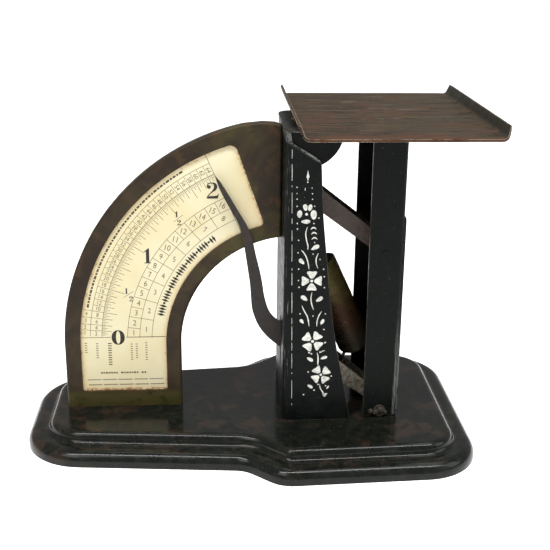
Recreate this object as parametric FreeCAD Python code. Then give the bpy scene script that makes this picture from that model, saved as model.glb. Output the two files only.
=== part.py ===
import FreeCAD, Part
import math
import os

# Quadrant postal (letter) scale.
# Frame: +X from the dial towards the pan, +Y to the back, +Z up.
# Origin: on the floor, at the middle of the base's length, on the plane that
# the base, column, stem and pan are symmetric about.  Millimetres.
# Rest position: pan down on its lower stop, pointer just past the last mark.

os.makedirs("parts", exist_ok=True)
V = FreeCAD.Vector

# ----------------------------------------------------------------- dimensions
SHEET = 1.2                     # pressed sheet of base, column, stem, pan

# base
BASE_XL, BASE_XR = -106.0, 105.4
BASE_YL, BASE_YR = 44.6, 62.4   # half widths, dial end and pan end
BASE_H = 12.0
LEDGE_H = 7.0                   # height of the lower step
UPPER_INSET = 10.5              # upper step stands this far in

# dial and pointer pivot
CX, CZ = 22.35, 45.5            # lower fixed pivot
DX, DZ = CX - 1.2, CZ - 1.5     # centre of the dial's circles, a little off the pivot
DIAL_RO, DIAL_RI = 109.5, 53.9
WIN_RO, WIN_RI = 101.9, 61.1
WIN_BOTTOM = 20.0
DIAL_Y = -5.8                   # front face of the dial frame
DIAL_DEPTH = 5.0
FRAME_T = 1.0
CARD_T = 0.4
BACK_T = 0.8

# column
COL_X = 15.0
COL_HW = 24.9
COL_TOP = 150.9

# parallel links
LINK_DX, LINK_DZ = 39.65, -30.2     # fixed pivot to moving pivot at rest
PIVOT_RISE = 78.2                   # upper pivots above the lower ones
LINK_HW = 7.0                       # half width over the flanges
LINK_T = 1.0
LINK_H1, LINK_H2 = 4.4, 3.8         # half heights at the two ends
PIN_R = 2.0
PIN_CLEAR = 0.05

# stem
ST_X0, ST_X1 = 54.05, 69.95
ST_HW = 22.6
ST_Z0 = 12.6
ST_PIN_R = 1.8

# pan
PAN_X0, PAN_X1 = 21.40, 102.38
PAN_HW = 58.7
PAN_Z = 153.7                   # underside
PAN_LIP = 4.6                   # lip rise
PAN_FLARE = 2.78                # lip lean outwards

# spring
SPR_T = (32.6, 84.6)            # top centre of the coil, X and Z
SPR_B = (52.6, 41.0)            # bottom centre of the coil
SPR_R = 8.6
SPR_WALL = 0.38
ANCHOR_R = 27.0                 # anchor pin from the lower fixed pivot

SCREW_X = 22.4                  # zero adjusting screw
CAP_T = 1.2

# ---------------------------------------------------------------- small tools
def cyl_y(x, z, r, y0, y1):
    return Part.makeCylinder(r, y1 - y0, V(x, y0, z), V(0, 1, 0))


def cyl_z(x, y, r, z0, z1):
    return Part.makeCylinder(r, z1 - z0, V(x, y, z0), V(0, 0, 1))


def box(x0, x1, y0, y1, z0, z1):
    return Part.makeBox(x1 - x0, y1 - y0, z1 - z0, V(x0, y0, z0))


def rod(p, q, r):
    d = V(*q) - V(*p)
    return Part.makeCylinder(r, d.Length, V(*p), d)


def rounded(points):
    """Closed planar wire through corner points (x, y, r), tangent arcs."""
    n = len(points)
    segs = []
    cuts = []
    for i in range(n):
        x, y, r = points[i]
        p = V(x, y, 0)
        a = V(points[i - 1][0], points[i - 1][1], 0)
        b = V(points[(i + 1) % n][0], points[(i + 1) % n][1], 0)
        u = (a - p).normalize()
        w = (b - p).normalize()
        if r <= 0:
            cuts.append((p, p, None))
            continue
        ang = math.acos(max(-1, min(1, u.dot(w))))
        t = r / math.tan(ang / 2)
        bis = (u + w).normalize()
        c = p + bis * (r / math.sin(ang / 2))
        cuts.append((p + u * t, p + w * t, c - bis * r))
    for i in range(n):
        s, e, m = cuts[i]
        if m is not None:
            segs.append(Part.Arc(s, m, e).toShape())
        nx = cuts[(i + 1) % n][0]
        if (nx - e).Length > 1e-6:
            segs.append(Part.LineSegment(e, nx).toShape())
    return Part.Wire(segs)


def to_xz(wire_or_face, y):
    """Turn an XY drawing into the XZ plane at the given Y."""
    m = FreeCAD.Matrix(1, 0, 0, 0,
                       0, 0, -1, y,
                       0, 1, 0, 0,
                       0, 0, 0, 1)
    return wire_or_face.transformGeometry(m) if False else \
        wire_or_face.transformed(m, True)


def slab_xz(wire, y0, y1):
    f = Part.Face(wire)
    g = to_xz(f, y0)
    return g.extrude(V(0, y1 - y0, 0))


def poly_xz(pts, y0, y1):
    w = Part.makePolygon([V(x, y0, z) for x, z in pts] + [V(pts[0][0], y0, pts[0][1])])
    return Part.Face(w).extrude(V(0, y1 - y0, 0))


def edges_at_z(s, z, tol=1e-4):
    out = []
    for e in s.Edges:
        b = e.BoundBox
        if abs(b.ZMin - z) < tol and abs(b.ZMax - z) < tol:
            out.append(e)
    return out


def vertical_edges(s, test):
    out = []
    for e in s.Edges:
        b = e.BoundBox
        if b.XLength < 1e-4 and b.YLength < 1e-4 and b.ZLength > 1e-2:
            if test(b.XMin, b.YMin):
                out.append(e)
    return out


def along_y(s, test):
    out = []
    for e in s.Edges:
        b = e.BoundBox
        if b.XLength < 1e-4 and b.ZLength < 1e-4 and b.YLength > 1e-2:
            if test(b.XMin, b.ZMin):
                out.append(e)
    return out


def clean(s):
    try:
        t = s.removeSplitter()
        if t.isValid():
            s = t
    except Exception:
        pass
    return s


def save(name, s):
    if isinstance(s, (list, tuple)):
        s = Part.makeCompound(list(s))
    else:
        s = clean(s)
    ok = s.isValid()
    vol = sum(x.Volume for x in s.Solids)
    print("%-20s solids %d valid %s volume %.1f" % (name, len(s.Solids), ok, vol))
    s.exportStep("parts/%s.step" % name)
    return s


# ------------------------------------------------------------- derived points
U1 = (CX, CZ + PIVOT_RISE)
D = (CX + LINK_DX, CZ + LINK_DZ)
U2 = (U1[0] + LINK_DX, U1[1] + LINK_DZ)
LINK_L = math.hypot(LINK_DX, LINK_DZ)
LINK_A = math.atan2(LINK_DZ, LINK_DX)
ANCHOR = (CX + ANCHOR_R * math.cos(LINK_A), CZ + ANCHOR_R * math.sin(LINK_A))

# ---------------------------------------------------------------------- base
def base_outline(inset):
    # corner points of the plan, front half then back half by symmetry
    s = 0.0966                          # slow widening of the dial end
    a = (BASE_XL, -(BASE_YL - 3.35))
    b = (-3.6, -(BASE_YL + 5.9))
    c = (12.2, -(BASE_YR + 2.65))
    d = (BASE_XR, -(BASE_YR - 1.0))
    half = [(a[0], a[1], 29.0), (b[0], b[1], 13.0), (c[0], c[1], 15.0), (d[0], d[1], 27.5)]
    pts = half + [(x, -y, r) for x, y, r in reversed(half)]
    w = rounded(pts)
    if inset:
        w = w.makeOffset2D(-inset)
    return w


def base_body(grow, h, ledge, r1, r2, z0):
    low = Part.Face(base_outline(grow)).extrude(V(0, 0, ledge - z0))
    low.translate(V(0, 0, z0))
    low = low.makeFillet(r1, edges_at_z(low, ledge))
    up = Part.Face(base_outline(UPPER_INSET + grow)).extrude(V(0, 0, h - 1.0))
    up.translate(V(0, 0, 1.0))
    up = up.makeFillet(r2, edges_at_z(up, h))
    s = low.fuse(up)
    return clean(s)


outer = base_body(0.0, BASE_H, LEDGE_H, 5.2, 3.4, 0.0)
try:
    ring = [e for e in edges_at_z(outer, LEDGE_H, 1e-3)
            if min(abs(v.Point.y) for v in e.Vertexes) < 200 and
            e.BoundBox.XMin > BASE_XL + 8.0 and e.BoundBox.XMax < BASE_XR - 8.0]
    f = outer.makeFillet(2.6, ring)
    if f.isValid():
        outer = f
except Exception as ex:
    print("ledge fillet left out:", ex)
inner = base_body(SHEET, BASE_H - SHEET, LEDGE_H - SHEET, 4.0, 2.3, -3.0)
base = outer.cut(inner)

COL_SCREWS = [(29.5, 19.0), (29.5, -19.0), (38.0, 19.0), (38.0, -19.0)]
FOOT_RIVETS = [(-76.0, 2.2), (-44.5, 2.2)]
for x, y in COL_SCREWS:
    base = base.cut(cyl_z(x, y, 1.55, 5, 15))
for x, y in FOOT_RIVETS:
    base = base.cut(cyl_z(x, y, 1.25, 5, 15))
save("base_shell", base)

# -------------------------------------------------------------------- column
right_edge = [(31.0, 136.3), (31.3, 130.2), (32.2, 114.7), (33.1, 105.3), (34.2, 95.0),
              (35.8, 78.5), (37.7, 64.0), (39.6, 51.8), (41.6, 41.4), (43.7, 31.4),
              (45.6, 22.0), (46.6, 17.0), (47.4, BASE_H)]


def column_profile():
    bs = Part.BSplineCurve()
    bs.interpolate([V(x, 0, z) for x, z in right_edge])
    pts = [(47.4, BASE_H), (COL_X, BASE_H), (COL_X, COL_TOP), (17.2, COL_TOP),
           (17.8, 146.4), (29.2, 139.4), (30.6, 137.8), (31.0, 136.3)]
    segs = []
    for p, q in zip(pts[:-1], pts[1:]):
        segs.append(Part.LineSegment(V(p[0], 0, p[1]), V(q[0], 0, q[1])).toShape())
    segs.append(bs.toShape())
    return Part.Face(Part.Wire(segs))


col = column_profile()
col.translate(V(0, -COL_HW, 0))
col = col.extrude(V(0, 2 * COL_HW, 0))
col = col.makeFillet(2.6, vertical_edges(col, lambda x, y: abs(x - COL_X) < 1e-3))
core = box(COL_X + SHEET, 80, -COL_HW + SHEET, COL_HW - SHEET, -5, 170)
core = core.makeFillet(1.4, vertical_edges(core, lambda x, y: x < COL_X + 5))
col = col.cut(core)
# foot tabs
for sgn in (-1, 1):
    y0, y1 = sorted((sgn * (COL_HW - SHEET + 0.4), sgn * 13.5))
    tab = box(24.5, 42.0, y0, y1, BASE_H, BASE_H + SHEET)
    col = col.fuse(tab)
for x, y in COL_SCREWS:
    col = col.cut(cyl_z(x, y, 1.55, 5, 20))
# slot for the pointer, pivot holes, rivet holes
slot = box(COL_X - 5, COL_X + 3, -10.8, -4.4, CZ - 12.2, CZ + 13.6)
slot = slot.makeFillet(2.6, [e for e in slot.Edges if e.BoundBox.XLength > 2 and
                             e.BoundBox.YLength < 1e-4 and e.BoundBox.ZLength < 1e-4])
col = col.cut(slot)
col = col.cut(cyl_y(CX, CZ, PIN_R + 0.02, -40, 40))
col = col.cut(cyl_y(U1[0], U1[1], PIN_R + 0.02, -40, 40))
HEAD_RIVETS = [(21.0, 140.6), (27.0, 137.6)]
for x, z in HEAD_RIVETS:
    col = col.cut(cyl_y(x, z, 1.22, -40, 40))
FRAME_RIVETS = [(1.4, 109.0), (1.4, 139.5)]
for y, z in FRAME_RIVETS:
    col = col.cut(Part.makeCylinder(1.25, 8, V(COL_X - 4, y, z), V(1, 0, 0)))
save("column_shell", col)

save("column_screws", [
    cyl_z(x, y, 1.5, 8.0, BASE_H + SHEET).fuse(
        cyl_z(x, y, 2.8, BASE_H + SHEET, BASE_H + SHEET + 1.5)).cut(
        box(x - 3, x + 3, y - 0.35, y + 0.35, BASE_H + SHEET + 0.8, BASE_H + SHEET + 3))
    for x, y in COL_SCREWS])

# --------------------------------------------------------- head of the column
HEAD_R = 17.3
HC = (23.5, 151.9)
hb = cyl_y(HC[0], HC[1], HEAD_R, -COL_HW + SHEET + 0.03, COL_HW - SHEET - 0.03)
hb = hb.common(box(COL_X + SHEET + 0.05, 60, -40, 40, 100, COL_TOP))
hb = hb.makeFillet(1.5, vertical_edges(hb, lambda x, y: abs(x - COL_X - SHEET - 0.05) < 1e-3))
hb = hb.cut(box(0, 80, -COL_HW + 2 * SHEET, COL_HW - 2 * SHEET, 100, COL_TOP - SHEET))
hb = hb.cut(cyl_z(SCREW_X, 0, 1.62, 120, 160))
for x, z in HEAD_RIVETS:
    hb = hb.cut(cyl_y(x, z, 1.22, -40, 40))
CAP_SCREWS = [(33.5, 14.0), (33.5, -14.0)]
for x, y in CAP_SCREWS:
    hb = hb.cut(cyl_z(x, y, 1.12, 120, 160))
save("head_bracket", hb)

hr = []
for x, z in HEAD_RIVETS:
    for sgn in (-1, 1):
        y0, y1 = sorted((sgn * (COL_HW - 0.02), sgn * (COL_HW - 2 * SHEET)))
        i0, i1 = sorted((sgn * (COL_HW - 2 * SHEET), sgn * (COL_HW - 2 * SHEET - 0.9)))
        hr.append(cyl_y(x, z, 1.2, y0, y1).fuse(cyl_y(x, z, 2.0, i0, i1)))
save("head_rivets", hr)

cap = box(14.5, 40.9, -24.4, 24.4, COL_TOP, COL_TOP + CAP_T)
cap = cap.makeFillet(6.0, vertical_edges(cap, lambda x, y: True))
cap = cap.makeFillet(0.5, edges_at_z(cap, COL_TOP + CAP_T))
cap = cap.cut(cyl_z(SCREW_X, 0, 1.62, 120, 160))
for x, y in CAP_SCREWS:
    cap = cap.cut(cyl_z(x, y, 1.12, 120, 160))
save("cap_plate", cap)

save("cap_rivets", [
    cyl_z(x, y, 1.1, COL_TOP - SHEET - 0.7, COL_TOP + CAP_T).fuse(
        cyl_z(x, y, 1.9, COL_TOP + CAP_T, COL_TOP + CAP_T + 0.55)).fuse(
        cyl_z(x, y, 1.8, COL_TOP - SHEET - 0.7, COL_TOP - SHEET)) for x, y in CAP_SCREWS])

scr = cyl_z(SCREW_X, 0, 3.3, COL_TOP + CAP_T, COL_TOP + CAP_T + 1.0)
scr = scr.makeFillet(0.3, edges_at_z(scr, COL_TOP + CAP_T + 1.0))
scr = scr.cut(box(SCREW_X - 4, SCREW_X + 4, -0.4, 0.4, COL_TOP + CAP_T + 0.45, 160))
scr = scr.fuse(cyl_z(SCREW_X, 0, 1.5, 133.5, COL_TOP + CAP_T))
save("adjusting_screw", scr)

nut = box(SCREW_X - 4.2, SCREW_X + 8.4, -4.5, 4.5, 136.6, 140.6)
nut = nut.makeFillet(1.0, vertical_edges(nut, lambda x, y: True))
nut = nut.cut(cyl_z(SCREW_X, 0, 1.54, 120, 160))
ROD_X = SCREW_X + 5.4
nut = nut.cut(cyl_z(ROD_X, 0, 0.95, 120, 160))
save("hook_nut", nut)

ring_top = V(SPR_T[0] - 0.2, 0, SPR_T[1] + 2.6)
tor = Part.makeTorus(2.2, 0.7, ring_top, V(0, 1, 0))
hook = rod((ROD_X, 0, 141.8), (ROD_X, 0, 133.0), 0.9)
hook = hook.fuse(cyl_z(ROD_X, 0, 1.9, 140.6, 141.8))
hook = hook.fuse(Part.makeSphere(0.9, V(ROD_X, 0, 133.0)))
hook = hook.fuse(rod((ROD_X, 0, 133.0), (ring_top.x - 0.1, 0, ring_top.z + 2.0), 0.9))
hook = hook.fuse(tor)
save("spring_hook_rod", hook)

# -------------------------------------------------------------------- spring
t = V(SPR_T[0], 0, SPR_T[1])
b = V(SPR_B[0], 0, SPR_B[1])
ax = (b - t)
coil = Part.makeCylinder(SPR_R, ax.Length, t, ax).cut(
    Part.makeCylinder(SPR_R - SPR_WALL, ax.Length, t, ax))
save("counter_spring", coil)

# lower hook: ring round the anchor pin, straight wire, ring in the coil's end
ra = V(ANCHOR[0], 0, ANCHOR[1])
rb = V(SPR_B[0] - 1.2, 0, SPR_B[1] + 2.4)
d = (rb - ra).normalize()
lh = Part.makeTorus(2.1, 0.65, ra, V(0, 1, 0))
lh = lh.fuse(rod(tuple(ra + d * 2.0), tuple(rb - d * 2.0), 0.8))
lh = lh.fuse(Part.makeTorus(2.1, 0.65, rb, V(0, 1, 0)))
save("spring_lower_hook", lh)

# ------------------------------------------------------------- fixed pivots
for name, (x, z), front in (("lower_pivot_pin", (CX, CZ), 8.3), ("upper_pivot_pin", U1, 7.3)):
    p = cyl_y(x, z, PIN_R, -COL_HW - 0.15, COL_HW + 0.15)
    save(name, p)
for name, (x, z), front in (("lower_pivot_bushes", (CX, CZ), LINK_HW + 1.4),
                            ("upper_pivot_bushes", U1, LINK_HW + 0.15)):
    r0 = PIN_R + 0.05
    a = cyl_y(x, z, 3.2, -COL_HW + SHEET, -front).cut(cyl_y(x, z, r0, -40, 40))
    c = cyl_y(x, z, 3.2, LINK_HW + 0.15, COL_HW - SHEET).cut(cyl_y(x, z, r0, -40, 40))
    save(name, [a, c])

# --------------------------------------------------------------------- links
def link_solid(p, q, web_from, web_to, r1, r2):
    """Channel between pivots p and q (X, Z), open side up."""
    a = math.atan2(q[1] - p[1], q[0] - p[0])
    n = (-math.sin(a), math.cos(a))
    L = math.hypot(q[0] - p[0], q[1] - p[1])

    def at(s, h):
        return (p[0] + s * math.cos(a) + h * n[0], p[1] + s * math.sin(a) + h * n[1])
    side = [at(0, r1), at(L, r2), at(L, -r2), at(0, -r1)]
    fl = poly_xz(side, -LINK_HW, LINK_HW)
    fl = fl.fuse(cyl_y(p[0], p[1], r1, -LINK_HW, LINK_HW))
    fl = fl.fuse(cyl_y(q[0], q[1], r2, -LINK_HW, LINK_HW))
    fl = clean(fl)
    keep = LINK_HW - LINK_T
    hollow = poly_xz([at(-20, 40), at(L + 20, 40), at(L + 20, -40), at(-20, -40)], -keep, keep)
    h1 = r1 + (r2 - r1) * web_from / L
    h2 = r1 + (r2 - r1) * web_to / L
    web = poly_xz([at(web_from, -h1 + LINK_T), at(web_to, -h2 + LINK_T),
                   at(web_to, -h2), at(web_from, -h1)], -keep - 0.2, keep + 0.2)
    s = fl.cut(hollow).fuse(web)
    return s, at


ul, at_u = link_solid(U1, U2, 17.5, LINK_L - 6.0, LINK_H1, LINK_H2)
ul = ul.cut(cyl_y(U1[0], U1[1], PIN_R + PIN_CLEAR, -20, 20))
ul = ul.cut(cyl_y(U2[0], U2[1], ST_PIN_R + 0.07, -20, 20))
save("upper_link", ul)

ll, at_l = link_solid((CX, CZ), D, 33.0, LINK_L - 7.0, 5.6, 3.0)
ll = ll.cut(cyl_y(CX, CZ, PIN_R + PIN_CLEAR, -20, 20))
ll = ll.cut(cyl_y(D[0], D[1], ST_PIN_R + 0.05, -20, 20))
ll = ll.cut(cyl_y(ANCHOR[0], ANCHOR[1], 1.22, -20, 20))
P_RIV = [at_l(6.9, 0.0), at_l(11.3, 0.0)]
for x, z in P_RIV:
    ll = ll.cut(cyl_y(x, z, 0.92, -20, 0))
save("lower_link", ll)

save("spring_anchor_pin", cyl_y(ANCHOR[0], ANCHOR[1], 1.2, -LINK_HW - 0.3, LINK_HW + 0.3))

# ------------------------------------------------------------------- pointer
left = [(-15.3, 126.0), (-11.9, 117.6), (-7.3, 109.2), (-4.3, 102.6), (-2.7, 95.1), (-1.0, 83.6),
        (0.1, 75.7), (0.7, 67.6), (1.2, 62.8), (2.2, 59.2), (3.7, 55.4), (5.9, 51.7),
        (8.6, 48.4), (11.7, 45.5), (14.5, 43.2), (18.0, 40.6)]
right = [(24.0, 52.3), (19.0, 54.2), (15.0, 56.0), (11.8, 58.2), (9.2, 61.9), (7.8, 66.0), (6.9, 70.0),
         (6.3, 74.1), (4.8, 82.1), (2.9, 90.0), (1.2, 97.6), (-1.2, 103.9), (-4.9, 110.4),
         (-8.2, 116.2), (-13.5, 125.0)]
PY0, PY1 = -LINK_HW - 1.2, -LINK_HW


def spline(pts):
    s = Part.BSplineCurve()
    s.interpolate([V(x, PY0, z) for x, z in pts])
    return s.toShape()


tip = (-15.95, 127.9)
arm_end = at_l(13.5, 0.0)
e_low = at_l(11.0, -3.6)
e_up = at_l(11.0, 3.6)
segs = [spline(left)]
mid = [left[-1], e_low]
segs.append(Part.LineSegment(V(left[-1][0], PY0, left[-1][1]), V(e_low[0], PY0, e_low[1])).toShape())
arc_mid = at_l(14.2, 0.0)
segs.append(Part.Arc(V(e_low[0], PY0, e_low[1]), V(arc_mid[0], PY0, arc_mid[1]),
                     V(e_up[0], PY0, e_up[1])).toShape())
segs.append(Part.LineSegment(V(e_up[0], PY0, e_up[1]), V(right[0][0], PY0, right[0][1])).toShape())
segs.append(spline(right))
segs.append(Part.LineSegment(V(right[-1][0], PY0, right[-1][1]), V(tip[0], PY0, tip[1])).toShape())
segs.append(Part.LineSegment(V(tip[0], PY0, tip[1]), V(left[0][0], PY0, left[0][1])).toShape())
ptr = Part.Face(Part.Wire(segs)).extrude(V(0, PY1 - PY0, 0))
ptr = ptr.cut(cyl_y(CX, CZ, PIN_R + PIN_CLEAR, -20, 20))
for x, z in P_RIV:
    ptr = ptr.cut(cyl_y(x, z, 0.92, -20, 0))
save("pointer", ptr)
save("pointer_rivets", [
    cyl_y(x, z, 0.9, PY0 - 0.5, -LINK_HW + LINK_T + 0.5).fuse(cyl_y(x, z, 1.5, PY0 - 0.5, PY0)).fuse(
        cyl_y(x, z, 1.5, -LINK_HW + LINK_T, -LINK_HW + LINK_T + 0.5)) for x, z in P_RIV])

# ---------------------------------------------------------------------- stem
st = box(ST_X0, ST_X1, -ST_HW, ST_HW, ST_Z0, PAN_Z)
st = st.makeFillet(2.0, vertical_edges(st, lambda x, y: x > ST_X1 - 1))
hol = box(ST_X0 - 5, ST_X1 - SHEET, -ST_HW + SHEET, ST_HW - SHEET, ST_Z0 - 5, PAN_Z - SHEET)
hol = hol.makeFillet(0.8, vertical_edges(hol, lambda x, y: x > ST_X1 - 3))
st = st.cut(hol)
st = st.cut(cyl_y(U2[0], U2[1], ST_PIN_R + 0.02, -40, 40))
st = st.cut(cyl_y(D[0], D[1], ST_PIN_R + 0.02, -40, 40))
PAN_RIVETS = [(58.0, 13.0), (58.0, -13.0), (65.0, 13.0), (65.0, -13.0)]
for x, y in PAN_RIVETS:
    st = st.cut(cyl_z(x, y, 1.22, 140, 160))
STIFF_RIVETS = [(-15.0, 30.0), (15.0, 30.0), (-15.0, 104.0), (15.0, 104.0)]
for y, z in STIFF_RIVETS:
    st = st.cut(Part.makeCylinder(1.22, 8, V(ST_X1 - 4, y, z), V(1, 0, 0)))
save("stem_channel", st)

sf = box(ST_X1, ST_X1 + 0.8, -ST_HW + 1.2, ST_HW - 1.2, ST_Z0 + 0.6, 111.0)
sf = sf.makeFillet(2.0, [e for e in sf.Edges if e.BoundBox.YLength < 1e-4 and e.BoundBox.ZLength < 1e-4])
for y, z in STIFF_RIVETS:
    sf = sf.cut(Part.makeCylinder(1.22, 8, V(ST_X1 - 4, y, z), V(1, 0, 0)))
save("stem_backing_strip", sf)
save("strip_rivets", [
    Part.makeCylinder(1.2, SHEET + 0.8, V(ST_X1 - SHEET, y, z), V(1, 0, 0)).fuse(
        Part.makeCylinder(2.1, 0.7, V(ST_X1 + 0.8, y, z), V(1, 0, 0))).fuse(
        Part.makeCylinder(1.9, 0.5, V(ST_X1 - SHEET - 0.5, y, z), V(1, 0, 0)))
    for y, z in STIFF_RIVETS])

for name, (x, z), hr_, hh in (("stem_upper_pin", U2, 2.6, 0.35), ("stem_lower_pin", D, 2.9, 1.2)):
    p = cyl_y(x, z, ST_PIN_R, -ST_HW - hh, ST_HW + hh)
    p = p.fuse(cyl_y(x, z, hr_, -ST_HW - hh, -ST_HW))
    p = p.fuse(cyl_y(x, z, hr_, ST_HW, ST_HW + hh))
    save(name, p)
for name, (x, z), ro in (("stem_upper_bushes", U2, 3.2), ("stem_lower_bushes", D, 2.9)):
    r0 = ST_PIN_R + 0.05
    a = cyl_y(x, z, ro, -ST_HW + SHEET, -LINK_HW - 0.15).cut(cyl_y(x, z, r0, -40, 40))
    c = cyl_y(x, z, ro, LINK_HW + 0.15, ST_HW - SHEET).cut(cyl_y(x, z, r0, -40, 40))
    save(name, [a, c])

# ----------------------------------------------------------------------- pan
def pan_profile():
    """Mid line of the pan in X and Z: lip, cove, bed, cove, lip."""
    t2 = SHEET / 2.0
    z = PAN_Z + t2
    top = PAN_Z + SHEET + PAN_LIP
    pts = []
    lean = math.atan2(PAN_FLARE - 1.6, PAN_LIP - 1.2)
    r = 2.6
    # right side: bed ends at PAN_X1 - 1, arc turns up by 90 deg minus lean
    turn = math.pi / 2 - lean
    cxr, czr = PAN_X1 - 0.6, z + r
    for i in range(7):
        a = -math.pi / 2 + turn * i / 6.0
        pts.append((cxr + r * math.cos(a), czr + r * math.sin(a)))
    lx, lz = pts[-1]
    k = (top - lz) / math.cos(lean)
    pts.append((lx + k * math.sin(lean), top))
    return pts, lean


mid_r, lean = pan_profile()
mid_l = [(PAN_X0 + PAN_X1 - x, z) for x, z in mid_r]
line = list(reversed(mid_l)) + mid_r


def offset_line(pts, d):
    out = []
    for i, (x, z) in enumerate(pts):
        if i == 0:
            dx, dz = pts[1][0] - x, pts[1][1] - z
        elif i == len(pts) - 1:
            dx, dz = x - pts[i - 1][0], z - pts[i - 1][1]
        else:
            ax_, az_ = x - pts[i - 1][0], z - pts[i - 1][1]
            bx_, bz_ = pts[i + 1][0] - x, pts[i + 1][1] - z
            la, lb = math.hypot(ax_, az_), math.hypot(bx_, bz_)
            dx, dz = ax_ / la + bx_ / lb, az_ / la + bz_ / lb
        L = math.hypot(dx, dz)
        out.append((x - dz / L * d, z + dx / L * d))
    return out


up_l = offset_line(line, SHEET / 2.0)
dn_l = offset_line(line, -SHEET / 2.0)
pan = poly_xz(up_l + list(reversed(dn_l)), -PAN_HW, PAN_HW)
px0 = min(x for x, z in up_l + dn_l)
px1 = max(x for x, z in up_l + dn_l)
plan = box(px0 - 0.01, px1 + 0.01, -PAN_HW - 0.0, PAN_HW + 0.0, 100, 200)
plan = plan.makeFillet(7.0, vertical_edges(plan, lambda x, y: True))
pan = pan.common(plan)
for x, y in PAN_RIVETS:
    pan = pan.cut(cyl_z(x, y, 1.22, 140, 160))
save("pan", pan)
save("pan_rivets", [
    cyl_z(x, y, 1.2, PAN_Z - SHEET - 0.7, PAN_Z + SHEET - 0.02).fuse(
        cyl_z(x, y, 2.0, PAN_Z - SHEET - 0.7, PAN_Z - SHEET)) for x, y in PAN_RIVETS])

# ------------------------------------------------------------------ the dial
def polar(r, deg):
    a = math.radians(deg)
    return (DX + r * math.cos(a), DZ + r * math.sin(a))


def dial_slab(ro, ri, zb, xr, y0, y1, cham):
    """Quadrant with a straight leg; xr is the right end, cham trims its corner."""
    d0 = cyl_y(DX, DZ, ro, y0, y1).cut(cyl_y(DX, DZ, ri, y0 - 1, y1 + 1))
    d0 = d0.common(box(-150, xr, y0, y1, DZ, 200))
    leg = box(DX - ro, DX - ri, y0, y1, zb, DZ)
    s = clean(d0.fuse(leg))
    c = cham
    # flattened and rounded-off corner at the upper right
    cut = poly_xz([(-4 - c, 150.7 - 0.7 * c), (6 - c, 151.7 - c), (11.5 - c, 151.4 - c), (15.5, 150.1 - 1.2 * c),
                   (20.5, 149.0), (20.5, 175), (-4 - c, 175)], y0 - 1, y1 + 1)
    return clean(s.cut(cut))


FR_X = COL_X                         # right end of the frame lies on the column
yb = DIAL_Y + DIAL_DEPTH
fr = dial_slab(DIAL_RO, DIAL_RI, BASE_H, FR_X, DIAL_Y, yb, 0.0)
try:
    sel = []
    for e in fr.Edges:
        bb = e.BoundBox
        if abs(bb.YMin - DIAL_Y) < 1e-4 and abs(bb.YMax - DIAL_Y) < 1e-4 and bb.ZMin > BASE_H - 0.01 \
                and bb.ZMax > BASE_H + 0.5:
            sel.append(e)
    f2 = fr.makeFillet(1.3, sel)
    if f2.isValid():
        fr = f2
except Exception as ex:
    print("dial edge fillet left out:", ex)
pocket = dial_slab(DIAL_RO - FRAME_T - 0.3, DIAL_RI + FRAME_T + 0.3, BASE_H + FRAME_T, FR_X - FRAME_T - 0.3,
                   DIAL_Y + FRAME_T, yb + 1, 1.3)
fr = fr.cut(pocket)
# window: quadrant band up to a slanting end, with a straight leg
win = cyl_y(DX, DZ, WIN_RO, DIAL_Y - 3, yb).cut(cyl_y(DX, DZ, WIN_RI, DIAL_Y - 4, yb + 1))
win = win.common(box(-150, 40, DIAL_Y - 3, yb, DZ, 200))
# the end line runs through these two points
e1, e2 = (-5.8, 139.9), (5.7, 107.4)
k = (e2[0] - e1[0]) / (e2[1] - e1[1])


def on_end(z):
    return e1[0] + k * (z - e1[1])


win = win.cut(poly_xz([(on_end(200), 200), (80, 200), (80, 40), (on_end(40), 40)], DIAL_Y - 5, yb + 2))
win = win.fuse(box(DX - WIN_RO, DX - WIN_RI, DIAL_Y - 3, yb, WIN_BOTTOM, DZ))
win = clean(win)
try:
    w2 = win.makeFillet(3.6, along_y(win, lambda x, z: z > 130))
    w2 = w2.makeFillet(2.2, along_y(w2, lambda x, z: 100 < z < 112 and x > 0))
    w2 = w2.makeFillet(1.2, along_y(w2, lambda x, z: z < 25))
    if w2.isValid():
        win = w2
except Exception as ex:
    print("window corners left sharp:", ex)
fr = fr.cut(win)
# foot flange and end flange
fr = fr.fuse(box(DX - DIAL_RO + 4, DX - DIAL_RI - 4, yb - 0.5, 6.2, BASE_H, BASE_H + FRAME_T))
fr = fr.fuse(box(FR_X - FRAME_T, FR_X, yb - 0.5, 5.0, 102.5, 146.5))
for x, y in FOOT_RIVETS:
    fr = fr.cut(cyl_z(x, y, 1.25, 5, 15))
for y, z in FRAME_RIVETS:
    fr = fr.cut(Part.makeCylinder(1.25, 8, V(COL_X - 4, y, z), V(1, 0, 0)))
save("dial_frame", fr)

g = 0.15
card_y0 = DIAL_Y + FRAME_T
card = dial_slab(DIAL_RO - FRAME_T - 0.3 - g, DIAL_RI + FRAME_T + 0.3 + g, BASE_H + FRAME_T + g,
                 FR_X - FRAME_T - 0.3 - g, card_y0, card_y0 + CARD_T, 1.6)
save("dial_card", card)
back = dial_slab(DIAL_RO - FRAME_T - 0.3 - g, DIAL_RI + FRAME_T + 0.3 + g, BASE_H + FRAME_T + g,
                 FR_X - FRAME_T - 0.3 - g, card_y0 + CARD_T, card_y0 + CARD_T + BACK_T, 1.6)
save("dial_backplate", back)

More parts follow.
